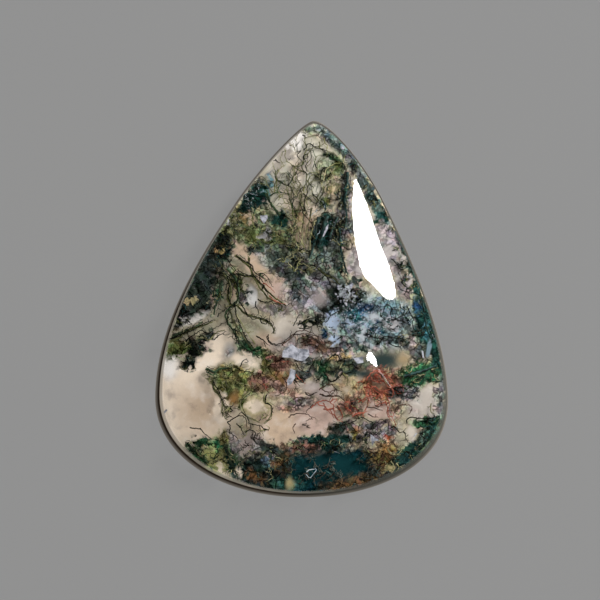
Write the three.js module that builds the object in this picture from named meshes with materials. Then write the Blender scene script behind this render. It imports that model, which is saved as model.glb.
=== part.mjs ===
// A pear-shaped moss agate cabochon, 36 x 28 x 6 mm: one solid piece of polished stone with a flat back, a small
// bevel round the back, a short girdle that leans inwards as it rises, and a smooth low dome on top.
// Millimetres, +Z up. The origin is on the flat back, in the middle of the stone's length and width,
// +Y points to the narrow tip and the dome faces +Z.
import * as THREE from "three";

// Overall size
const LENGTH = 36.0;
const WIDTH = 28.0;
const HEIGHT = 6.0;

// Side profile, from the back up
const BEVEL_RISE = 0.35;
const BEVEL_INSET = 0.4;
const GIRDLE_TOP = 1.35;
const GIRDLE_INSET = 0.22;
const DOME_FULLNESS = 2.3; // 2 is an elliptical section, more is flatter in the middle with fuller shoulders

// The dome's highest point, and the rounder pear that its level lines turn into on the way up
const CROWN = new THREE.Vector2(0, -3.2);
const CROWN_WIDTH = 27.0;
const CROWN_LENGTH = 33.0;
const ROUNDING = 1.6; // how soon a level line leaves the outline's shape, as a power of its distance from the crown

// Outline: six points round the pear, anticlockwise from the tip. heading is the way the edge runs there, in
// degrees from +X, and arrive and leave are the lengths of the Bezier handles before and after the point.
const OUTLINE = [
  { name: "tip", at: [1.15, LENGTH / 2], heading: 180, arrive: 1.5, leave: 1.1 },
  { name: "left flank", at: [-6.45, 9.95], heading: 236.8, arrive: 3.9, leave: 5.9 },
  { name: "left shoulder", at: [-WIDTH / 2, -8.55], heading: 270, arrive: 7.0, leave: 5.9 },
  { name: "foot", at: [0, -LENGTH / 2], heading: 0, arrive: 7.2, leave: 7.6 },
  { name: "right shoulder", at: [WIDTH / 2, -8.85], heading: 90, arrive: 5.85, leave: 6.1 },
  { name: "right flank", at: [7.8, 10.4], heading: 116.3, arrive: 6.1, leave: 4.1 },
];

// Faceting
const STEPS_PER_CURVE = 16;
const DOME_RINGS = 18;

// A Bezier handle's end: from a point of the outline, along its heading.
function handleEnd(point, distance) {
  const angle = THREE.MathUtils.degToRad(point.heading);
  return [point.at[0] + distance * Math.cos(angle), point.at[1] + distance * Math.sin(angle)];
}

// The stone's widest outline, as points in order round the pear.
function outlinePoints() {
  const shape = new THREE.Shape().moveTo(...OUTLINE[0].at);
  OUTLINE.forEach((from, i) => {
    const to = OUTLINE[(i + 1) % OUTLINE.length];
    shape.bezierCurveTo(...handleEnd(from, from.leave), ...handleEnd(to, -to.arrive), ...to.at);
  });
  return shape.getPoints(STEPS_PER_CURVE).slice(0, -1);
}

// The outline moved inwards by a distance, by scaling each half-axis about the origin.
function insetRing(outline, inset, z) {
  const scaleX = 1 - inset / (WIDTH / 2);
  const scaleY = 1 - inset / (LENGTH / 2);
  return outline.map((p) => new THREE.Vector3(p.x * scaleX, p.y * scaleY, z));
}

// One level line of the dome. share is 1 at the girdle and 0 at the crown.
function domeRing(girdle, share) {
  const keep = Math.pow(share, ROUNDING);
  const rise = Math.sqrt(1 - Math.pow(share, DOME_FULLNESS));
  const z = GIRDLE_TOP + (HEIGHT - GIRDLE_TOP) * rise;
  return girdle.map((p) => {
    const out = new THREE.Vector2(p.x, p.y).sub(CROWN);
    const angle = out.angle();
    const oval = new THREE.Vector2((CROWN_WIDTH / 2) * Math.cos(angle), (CROWN_LENGTH / 2) * Math.sin(angle));
    const reach = oval.lerp(out, keep).multiplyScalar(share).add(CROWN);
    return new THREE.Vector3(reach.x, reach.y, z);
  });
}

// All rings of the stone, from the edge of the flat back up to the last one round the crown.
function stoneRings() {
  const outline = outlinePoints();
  const back = insetRing(outline, BEVEL_INSET, 0);
  const base = insetRing(outline, 0, BEVEL_RISE);
  const girdle = insetRing(outline, GIRDLE_INSET, GIRDLE_TOP);
  const dome = [];
  for (let i = 1; i < DOME_RINGS; i++) {
    // Equal steps of a quarter turn put more rings on the steep shoulder.
    dome.push(domeRing(girdle, Math.cos(((i / DOME_RINGS) * Math.PI) / 2)));
  }
  return [back, base, girdle, ...dome];
}

// A closed surface through the rings, with a fan at each end.
function loft(rings, firstCentre, lastCentre) {
  const around = rings[0].length;
  const points = [...rings.flat(), firstCentre, lastCentre];
  const first = points.length - 2;
  const last = points.length - 1;
  const triangles = [];
  for (let j = 0; j < around; j++) {
    const k = (j + 1) % around;
    for (let i = 0; i + 1 < rings.length; i++) {
      const low = i * around;
      const high = low + around;
      triangles.push(low + j, low + k, high + k, low + j, high + k, high + j);
    }
    const top = (rings.length - 1) * around;
    triangles.push(first, k, j, top + j, top + k, last);
  }
  const geometry = new THREE.BufferGeometry().setFromPoints(points);
  geometry.setIndex(triangles);
  geometry.computeVertexNormals();
  return geometry;
}

function cabochon() {
  const backCentre = new THREE.Vector3(0, 0, 0);
  const crown = new THREE.Vector3(CROWN.x, CROWN.y, HEIGHT);
  const polishedAgate = new THREE.MeshStandardMaterial({ color: 0x7d7d68, roughness: 0.06, metalness: 0 });
  const stone = new THREE.Mesh(loft(stoneRings(), backCentre, crown), polishedAgate);
  stone.name = "cabochon";
  return stone;
}

const part = new THREE.Group();
part.add(cabochon());

export default part;
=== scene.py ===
# A pear-shaped moss agate cabochon lying on its flat back on a pale table, seen almost from straight above.
# Lengths are in millimetres until a mesh is made; +Z is up out of the dome and +Y points to the narrow tip.
import math
from collections import namedtuple

import bpy
import numpy as np
from mathutils import Matrix, Vector
from mathutils.bvhtree import BVHTree


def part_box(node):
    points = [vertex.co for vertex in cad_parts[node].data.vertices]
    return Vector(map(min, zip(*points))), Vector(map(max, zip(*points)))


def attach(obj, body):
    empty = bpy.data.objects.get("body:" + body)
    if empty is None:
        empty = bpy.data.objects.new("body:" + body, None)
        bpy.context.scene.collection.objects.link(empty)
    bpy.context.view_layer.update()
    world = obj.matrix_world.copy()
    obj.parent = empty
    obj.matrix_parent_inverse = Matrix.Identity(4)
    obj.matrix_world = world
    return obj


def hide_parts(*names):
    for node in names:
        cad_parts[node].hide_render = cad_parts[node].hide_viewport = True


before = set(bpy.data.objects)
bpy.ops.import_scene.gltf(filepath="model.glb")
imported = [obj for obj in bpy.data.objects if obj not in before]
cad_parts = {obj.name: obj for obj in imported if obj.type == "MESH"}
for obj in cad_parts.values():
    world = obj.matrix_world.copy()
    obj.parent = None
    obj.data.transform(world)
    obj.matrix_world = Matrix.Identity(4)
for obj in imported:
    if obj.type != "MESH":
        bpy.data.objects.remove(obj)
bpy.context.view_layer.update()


# The polished stone
# One piece of clear to milky agate, cut to a pear with a low dome and lapped to a mirror finish. It is
# glass-clear at its skin, so what shows inside it is seen through this surface.
MM = 0.001
low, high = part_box("cabochon")
WIDTH = (high.x - low.x) / MM
LENGTH = (high.y - low.y) / MM
HEIGHT = (high.z - low.z) / MM
BEVEL_RISE = 0.35
BEVEL_INSET = 0.4
GIRDLE_TOP = 1.35
GIRDLE_INSET = 0.22
DOME_FULLNESS = 2.3
ROUNDING = 1.6
CROWN = np.array([0.0, -3.2])
CROWN_OVAL = np.array([27.0, 33.0]) / 2
# Six points round the pear, anticlockwise from the tip: place, heading in degrees from +X, and the
# lengths of the curve handles before and after the point.
OUTLINE = [
    ((1.15, LENGTH / 2), 180, 1.5, 1.1),
    ((-6.45, 9.95), 236.8, 3.9, 5.9),
    ((-WIDTH / 2, -8.55), 270, 7.0, 5.9),
    ((0, -LENGTH / 2), 0, 7.2, 7.6),
    ((WIDTH / 2, -8.85), 90, 5.85, 6.1),
    ((7.8, 10.4), 116.3, 6.1, 4.1),
]
STEPS_PER_CURVE = 44
DOME_RINGS = 56
BACK_MARGIN = 3.0  # the width of the ring of long faces round the flat back
EDGE_RADIUS = 0.12  # the bevel and the girdle meet in small rounds, worn by the polishing


def towards(heading):
    """The direction of a heading in degrees from +X."""
    return np.array([math.cos(math.radians(heading)), math.sin(math.radians(heading))])


def outline_points():
    """The stone's widest outline, as points in order round the pear."""
    points = []
    for i, (at, heading, _, leave) in enumerate(OUTLINE):
        to, to_heading, arrive, _ = OUTLINE[(i + 1) % len(OUTLINE)]
        start, end = np.array(at, float), np.array(to, float)
        leaving = start + leave * towards(heading)
        arriving = end - arrive * towards(to_heading)
        for t in np.arange(STEPS_PER_CURVE) / STEPS_PER_CURVE:
            rest = 1 - t
            points.append(
                rest**3 * start + 3 * rest * rest * t * leaving + 3 * rest * t * t * arriving + t**3 * end
            )
    return np.array(points)


def inset_ring(outline, inset, z):
    """The outline moved inwards by a distance, at one height."""
    scale = 1 - inset / (np.array([WIDTH, LENGTH]) / 2)
    return np.column_stack([outline * scale, np.full(len(outline), z)])


def dome_ring(girdle, share, foot, top):
    """One level line of a dome that rises from foot to top. share is 1 at the girdle, 0 at the crown."""
    out = girdle[:, :2] - CROWN
    angle = np.arctan2(out[:, 1], out[:, 0])
    oval = CROWN_OVAL * np.column_stack([np.cos(angle), np.sin(angle)])
    reach = (oval + (out - oval) * share**ROUNDING) * share + CROWN
    z = foot + (top - foot) * math.sqrt(1 - share**DOME_FULLNESS)
    return np.column_stack([reach, np.full(len(reach), z)])


def loft(name, rings):
    """A closed mesh through rings of points, with a fan to the middle of the first ring and of the last."""
    around = len(rings[0])
    ends = [rings[0].mean(axis=0), rings[-1].mean(axis=0)]
    points = np.vstack([*rings, *ends]) * MM
    first, last = len(points) - 2, len(points) - 1
    top = (len(rings) - 1) * around
    faces = []
    for j in range(around):
        k = (j + 1) % around
        for i in range(len(rings) - 1):
            at = i * around
            faces.append((at + j, at + k, at + around + k, at + around + j))
        faces.append((first, k, j))
        faces.append((top + j, top + k, last))
    mesh = bpy.data.meshes.new(name)
    mesh.from_pydata(points.tolist(), [], faces)
    mesh.shade_smooth()
    piece = bpy.data.objects.new(name, mesh)
    bpy.context.scene.collection.objects.link(piece)
    return piece


def rounded(corners, radius, steps=4):
    """A side profile of (inset, height) corners with each inner corner turned into a short curve, which
    starts and ends at most a radius away from the corner."""
    longest = 0.45  # of the side between two corners
    profile = [np.array(corners[0], float)]
    for before, corner, after in zip(corners, corners[1:], corners[2:]):
        before, corner, after = np.array(before), np.array(corner), np.array(after)
        start = corner + (before - corner) * min(radius / np.linalg.norm(before - corner), longest)
        end = corner + (after - corner) * min(radius / np.linalg.norm(after - corner), longest)
        for t in np.arange(steps + 1) / steps:
            profile.append((1 - t) ** 2 * start + 2 * t * (1 - t) * corner + t * t * end)
    profile.append(np.array(corners[-1], float))
    return profile


def dome_shares(rings):
    """Shares of the dome's level lines, closer together on the steep shoulder."""
    return [math.cos(i / rings * math.pi / 2) for i in range(rings)]


outline = outline_points()
back_profile = rounded(
    [(BACK_MARGIN, 0), (BEVEL_INSET, 0), (0, BEVEL_RISE), (GIRDLE_INSET, GIRDLE_TOP)], EDGE_RADIUS
)
stone_rings = [inset_ring(outline, inset, z) for inset, z in back_profile]
stone_rings += [dome_ring(stone_rings[-1], s, GIRDLE_TOP, HEIGHT) for s in dome_shares(DOME_RINGS)[1:]]
stone = loft("polished_stone", stone_rings)


class Tone:
    """A socket of a material, so that shader maths is written as Python."""

    def __init__(self, finish, socket):
        self.finish = finish
        self.socket = socket

    def maths(self, operation, *values):
        return self.finish.node("ShaderNodeMath", {"operation": operation}, dict(enumerate(values)))

    def __add__(self, other):
        return self.maths("ADD", self, other)

    __radd__ = __add__

    def __sub__(self, other):
        return self.maths("SUBTRACT", self, other)

    def __rsub__(self, other):
        return self.maths("SUBTRACT", other, self)

    def __mul__(self, other):
        return self.maths("MULTIPLY", self, other)

    __rmul__ = __mul__

    def between(self, nothing, all_of_it):
        """0 at one value of this tone and 1 at the other, eased at both ends."""
        return self.finish.node(
            "ShaderNodeMapRange",
            {"interpolation_type": "SMOOTHSTEP"},
            {"Value": self, "From Min": nothing, "From Max": all_of_it},
        )


class Finish:
    """A material in the making."""

    def __init__(self, name):
        self.material = bpy.data.materials.new(name)
        self.material.use_nodes = True
        self.tree = self.material.node_tree
        self.tree.nodes.clear()

    def node(self, kind, settings=None, values=None, out=0):
        """Adds a node, gives it its settings, then its sockets' values or links, and returns one output."""
        made = self.tree.nodes.new(kind)
        for name, setting in (settings or {}).items():
            setattr(made, name, setting)
        for name, value in (values or {}).items():
            if isinstance(value, Tone):
                self.tree.links.new(value.socket, made.inputs[name])
            else:
                made.inputs[name].default_value = value
        return Tone(self, made.outputs[out]) if made.outputs else None

    def mix(self, under, over, factor):
        """One colour laid over another."""
        return self.node("ShaderNodeMix", {"data_type": "RGBA"}, {0: factor, 6: under, 7: over}, out=2)

    def vector(self, operation, *values, out=0):
        """Vector maths on places, directions or colours."""
        return self.node("ShaderNodeVectorMath", {"operation": operation}, dict(enumerate(values)), out=out)

    def scaled(self, vector, share):
        """A place, direction or colour, times a number."""
        return self.node("ShaderNodeVectorMath", {"operation": "SCALE"}, {0: vector, "Scale": share})

    def place(self):
        """The place in the stone, in millimetres."""
        place = self.node("ShaderNodeTexCoord", out="Object")
        return self.node("ShaderNodeMapping", None, {"Vector": place, "Scale": (1 / MM,) * 3})

    def axis(self, vector, name):
        """One of a vector's three numbers."""
        return self.node("ShaderNodeSeparateXYZ", None, {"Vector": vector}, out=name)

    def along(self, vector, way):
        """How far a vector reaches along a way."""
        return self.vector("DOT_PRODUCT", vector, way, out="Value")

    def flattened(self, vector):
        """A vector without its height."""
        return self.vector("MULTIPLY", vector, (1, 1, 0))

    def noise(self, place, per_mm, detail=3.0, roughness=0.5, out="Fac"):
        """Cloudy noise with a number of cells to a millimetre."""
        return self.node(
            "ShaderNodeTexNoise",
            None,
            {"Vector": place, "Scale": per_mm, "Detail": detail, "Roughness": roughness},
            out=out,
        )

    def cells(self, place, per_mm, feature="F1", out=0):
        """Irregular cells in plan, with a number of them to a millimetre."""
        settings = {"voronoi_dimensions": "2D", "feature": feature}
        return self.node("ShaderNodeTexVoronoi", settings, {"Vector": place, "Scale": per_mm}, out=out)

    def shifted(self, place, per_mm, reach, detail=2.0):
        """The place, pushed about by noise, at most about reach millimetres."""
        push = self.vector("SUBTRACT", self.noise(place, per_mm, detail, out="Color"), (0.5,) * 3)
        return self.vector("ADD", place, self.scaled(push, reach * 2))

    def surface(self, **values):
        """The finished surface, with the named sockets of its shader."""
        shader = self.node("ShaderNodeBsdfPrincipled", None, values)
        self.node("ShaderNodeOutputMaterial", None, {"Surface": shader})
        return self.material


def ink(red, green, blue):
    """A colour given as it looks on a screen, 0 to 255, as the light it reflects."""
    share = [c / 255 for c in (red, green, blue)]
    return (*[s / 12.92 if s <= 0.04045 else ((s + 0.055) / 1.055) ** 2.4 for s in share], 1.0)


AGATE_IOR = 1.54
DULLEST_POLISH = 0.06
CLEAR_AGATE = ink(236, 232, 214)
ABSORPTION = 90.0  # to a metre
polish = Finish("clear_agate")
rub = polish.noise(polish.place(), per_mm=0.6, detail=3.0)
clear_agate = polish.surface(
    **{
        "Base Color": (1, 1, 1, 1),
        "Roughness": rub * DULLEST_POLISH,
        "IOR": AGATE_IOR,
        "Transmission Weight": 1.0,
    }
)
tint = polish.node("ShaderNodeVolumeAbsorption", None, {"Color": CLEAR_AGATE, "Density": ABSORPTION})
polish.tree.links.new(tint.socket, polish.tree.nodes["Material Output"].inputs["Volume"])
stone.data.materials.append(clear_agate)
# The girdle is ground, not polished, and dull and brownish at the back. Over that lies painted shade: it
# darkens towards its upper edge, darkest on the lower left and lighter towards the lamp, and a thin painted
# highlight line runs over that edge.
# GROUND is the girdle's own colour. The edge colours are painted shade and the line colours a painted
# highlight.
GROUND = ink(138, 131, 121)
DARK_EDGE_SHADE = ink(24, 18, 12)
PALER_EDGE_SHADE = ink(58, 46, 36)
LIT_EDGE = ink(86, 84, 77)
TIP_EDGE = ink(100, 96, 90)
SHADY_LINE = ink(158, 150, 137)
LIT_LINE = ink(84, 83, 76)
TIP_LINE_LEFT = ink(164, 159, 149)
TIP_LINE_RIGHT = ink(82, 80, 77)
DARK_RISE = 0.6  # the dark edge's top over the girdle's
PALE_RISE = 0.7  # the pale line's top over the dark edge's
NARROWING = 0.5  # how much lower both lie at the tip
LINE_START = 0.15  # the height over which the dark edge turns into the pale line
LINE_CLEARNESS = 0.2
FLAT_BACK = 0.02  # faces whose middle is lower than this are the polished back
TO_THE_LIGHT = (0.8, 0.35, 0)
TO_THE_TIP = (-0.3, 1.0, 0)


def ground_girdle_painted_shade():
    """The finish of the ground edge, with painted shade towards its top and a painted highlight line, which
    fades out where the polished dome begins.
    """
    finish = Finish("ground_girdle_painted_shade")
    where = finish.place()
    height = finish.axis(where, "Z")
    lit = finish.along(where, TO_THE_LIGHT).between(-9.0, -1.0)
    near_tip = finish.along(where, TO_THE_TIP).between(3.0, 10.0)
    right = finish.axis(where, "X").between(-1.0, 1.5)
    # Painted shade: the mottled dark edge, lighter on the lamp's side and at the tip.
    edge_shade = finish.mix(DARK_EDGE_SHADE, PALER_EDGE_SHADE, finish.noise(where, per_mm=1.5))
    dark_edge = finish.mix(finish.mix(edge_shade, LIT_EDGE, lit), TIP_EDGE, near_tip)
    # Painted highlight: the thin line over the dark edge, pale on the shady side and dull on the lit side.
    tip_line = finish.mix(TIP_LINE_LEFT, TIP_LINE_RIGHT, right)
    pale_line = finish.mix(finish.mix(SHADY_LINE, LIT_LINE, lit), tip_line, near_tip)
    # Painted shade: the girdle's own colour darkens up to the dark edge.
    ground = finish.mix(GROUND, dark_edge, height.between(0.3, GIRDLE_TOP + 0.4))
    dark_top = near_tip * -NARROWING + (GIRDLE_TOP + DARK_RISE)
    on_line = height.between(dark_top, dark_top + LINE_START)
    fading = height.between(dark_top + PALE_RISE, dark_top + PALE_RISE / 2)
    return finish.surface(
        **{
            "Base Color": finish.mix(ground, pale_line, on_line),
            "Roughness": 0.6,
            "Specular IOR Level": 0.0,
            "Alpha": fading * (1 - on_line * LINE_CLEARNESS),
        }
    )


stone.data.materials.append(ground_girdle_painted_shade())
for face in stone.data.polygons:
    if FLAT_BACK < face.center.z / MM < GIRDLE_TOP + DARK_RISE + PALE_RISE:
        face.material_index = 1
# Light passes freely through the clear skin on its way to the cloud and the moss under it.
stone.visible_shadow = False
stone.visible_diffuse = False
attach(stone, "root")
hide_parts("cabochon")


# The milky chalcedony inside
# The cloudy heart of the same stone: cream, peach and smoky windows, and the deep, blurred beds of green,
# teal and rust. It lies a little under the polished skin, deepest under the crown.
HEART_INSET = 0.22
HEART_FOOT = 0.16
HEART_BEVEL_TOP = BEVEL_RISE + 0.1
HEART_SHOULDER = GIRDLE_TOP - 0.15
HEART_TOP = 4.7
HEART_EDGE_RADIUS = 0.15
heart_profile = rounded(
    [
        (BACK_MARGIN, HEART_FOOT),
        (BEVEL_INSET + HEART_INSET, HEART_FOOT),
        (HEART_INSET, HEART_BEVEL_TOP),
        (GIRDLE_INSET + HEART_INSET, HEART_SHOULDER),
    ],
    HEART_EDGE_RADIUS,
)
heart_rings = [inset_ring(outline, inset, z) for inset, z in heart_profile]
heart_rings += [dome_ring(heart_rings[-1], s, HEART_SHOULDER, HEART_TOP) for s in dome_shares(DOME_RINGS)[1:]]
heart = loft("milky_chalcedony", heart_rings)

# The marks inside the stone are placed in plan as the photo shows them, from nearly straight above. That
# view leans a little, so a mark lies further to the lower left, by its height over the view's aim times
# this slope, than it seems.
LEAN = math.tan(math.radians(3.4))
AIM_HEIGHT = 1.0

MILK = ink(238, 232, 226)
CREAM = ink(230, 213, 193)
BISCUIT = ink(190, 168, 145)
PEACH = ink(200, 176, 152)
ROSE = ink(196, 170, 157)
DUSTY_PINK = ink(178, 163, 157)
MAUVE = ink(112, 98, 100)
LILAC = ink(182, 180, 182)
SMOKE = ink(112, 113, 116)
FROST = ink(192, 198, 204)
SKY = ink(172, 188, 210)
STEEL = ink(92, 116, 124)
NAVY = ink(38, 62, 86)
SAGE = ink(166, 160, 138)
STRAW = ink(178, 164, 122)
AMBER = ink(166, 140, 98)
OCHRE = ink(114, 92, 58)
MOSS = ink(110, 110, 70)
OLIVE = ink(80, 88, 50)
JADE = ink(40, 94, 64)
FOREST = ink(40, 70, 50)
PINE = ink(28, 56, 52)
DEEP_TEAL = ink(18, 54, 60)
NIGHT = ink(30, 37, 33)
SLATE = ink(72, 74, 74)
UMBER = ink(96, 73, 48)
RUST = ink(134, 76, 54)
CLAY = ink(142, 116, 100)
BRICK = ink(112, 84, 72)
BONE = ink(196, 186, 174)
TARN = ink(96, 106, 100)
LAGOON = ink(112, 132, 142)
TAN = ink(164, 144, 112)
GLOOM = ink(50, 58, 54)
ASH = ink(152, 144, 143)
FERN = ink(62, 108, 80)
HARBOUR = ink(56, 98, 110)
SURF = ink(62, 106, 96)
REED = ink(120, 124, 96)
BRAMBLE = ink(96, 72, 62)
ESTUARY = ink(38, 52, 50)
DUN = ink(134, 123, 105)
PEARL = ink(208, 206, 204)
DUSK = ink(70, 84, 82)
LINEN = ink(178, 169, 160)
HEATHER = ink(150, 140, 138)
PUMICE = ink(202, 198, 182)
PEAR = ink(176, 176, 112)
GRAPE = ink(124, 117, 119)
GINGER = ink(152, 116, 72)
LOCH = ink(24, 66, 70)
TEAL_GREY = ink(56, 70, 68)

# Where each colour lies: colour, middle, half-axes, turn in degrees, softness of the edge. Later rows
# cover earlier ones. First the soft windows of milky stone.
WINDOWS = [
    # Left and lower left
    (CREAM, (-10.6, -8.6), (4.2, 4.6), 0, 0.35),
    (BISCUIT, (-9.5, -9.6), (2.2, 2.2), 0, 0.9),
    (MILK, (-12.5, -5.4), (1.0, 1.4), 0, 0.5),
    (CREAM, (-12.6, -10.2), (0.8, 1.9), 15, 0.6),
    (CREAM, (-8.4, -3.8), (3.6, 1.6), 35, 0.35),
    (SMOKE, (-6.9, -4.0), (0.5, 0.6), 0, 0.9),
    (CREAM, (-5.2, -5.0), (1.4, 1.0), -25, 0.3),
    (MILK, (-10.2, -0.6), (1.8, 0.8), 32, 0.3),
    # Middle and foot
    (SAGE, (-4.3, -2.2), (1.7, 1.3), -30, 0.3),
    (BONE, (-0.9, -2.1), (2.2, 1.3), -10, 0.5),
    (PEACH, (-3.0, -3.4), (1.4, 0.9), -30, 0.5),
    (HEATHER, (0.2, -3.7), (3.2, 1.3), 0, 0.6),
    (PEACH, (-2.2, -11.3), (2.1, 2.0), 0, 0.4),
    (ROSE, (1.4, -10.2), (2.2, 2.3), 0, 0.4),
    (CLAY, (-2.0, -7.5), (1.7, 1.1), 0, 0.5),
    (ROSE, (-1.0, -7.2), (0.6, 0.4), 20, 0.5),
    (BRICK, (4.4, -9.3), (1.2, 1.2), -20, 0.7),
    (ROSE, (2.6, -8.9), (0.5, 0.4), 0, 0.6),
    (MAUVE, (-0.2, -8.9), (1.8, 0.5), 14, 0.7),
    (CLAY, (-1.3, -9.5), (0.8, 0.3), 0, 0.9),
    (DUSTY_PINK, (1.6, -7.6), (1.8, 0.6), -10, 0.6),
    (DUSTY_PINK, (-5.0, -13.0), (1.2, 1.1), 0, 0.5),
    (PEAR, (-8.2, -14.2), (1.3, 1.9), -10, 0.4),
    (MOSS, (-7.8, -13.6), (0.8, 1.2), 0, 0.5),
    # Upper left and the tip
    (PEACH, (-3.7, 3.5), (4.3, 1.0), -43, 0.3),
    (ASH, (-3.6, 4.7), (1.3, 0.6), -50, 0.6),
    (ROSE, (-1.9, 1.7), (1.2, 0.8), -40, 0.6),
    (PEARL, (-4.7, 1.0), (0.55, 1.1), 8, 0.3),
    (PUMICE, (-0.2, 12.2), (3.4, 4.0), 0, 0.3),
    (TARN, (1.6, 16.9), (1.5, 0.8), -20, 0.6),
    (CREAM, (-0.5, 13.2), (0.7, 1.5), 0, 0.6),
    (REED, (2.4, 12.9), (1.1, 1.4), 10, 0.6),
    (CREAM, (-0.8, 10.3), (1.2, 1.1), 0, 0.6),
    (BONE, (0.6, 13.8), (0.6, 1.0), 10, 0.7),
    (DUSK, (2.9, 16.2), (0.75, 2.0), 38, 0.5),
    (DUSK, (4.7, 14.4), (0.8, 1.9), 34, 0.5),
    # Centre and right
    (SMOKE, (0.3, 1.0), (2.1, 1.6), 0, 0.5),
    (ASH, (7.9, 5.9), (1.3, 3.0), 24, 0.3),
    (ASH, (5.0, 4.2), (0.8, 1.6), 12, 0.3),
    (LAGOON, (6.2, -1.1), (4.6, 2.5), -12, 0.4),
    (ASH, (9.4, 2.6), (0.8, 1.7), 10, 0.4),
    (LILAC, (8.4, -1.5), (0.9, 0.5), -8, 0.5),
    (TARN, (9.2, -3.2), (1.4, 0.6), -5, 0.5),
    (HEATHER, (3.6, -4.0), (2.0, 0.8), 10, 0.5),
    (TAN, (4.5, -7.1), (1.4, 1.1), 0, 0.4),
    (HEATHER, (10.7, -3.0), (0.7, 0.7), 0, 0.5),
    (LINEN, (11.5, -9.2), (1.9, 1.7), 25, 0.3),
    (ROSE, (7.1, -9.5), (1.3, 1.0), 0, 0.3),
    (DUN, (8.6, -9.7), (0.7, 0.8), 0, 0.5),
    (BONE, (10.2, -11.9), (0.5, 0.9), -10, 0.4),
    (SAGE, (9.0, -12.4), (1.0, 1.2), 0, 0.4),
]
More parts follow.
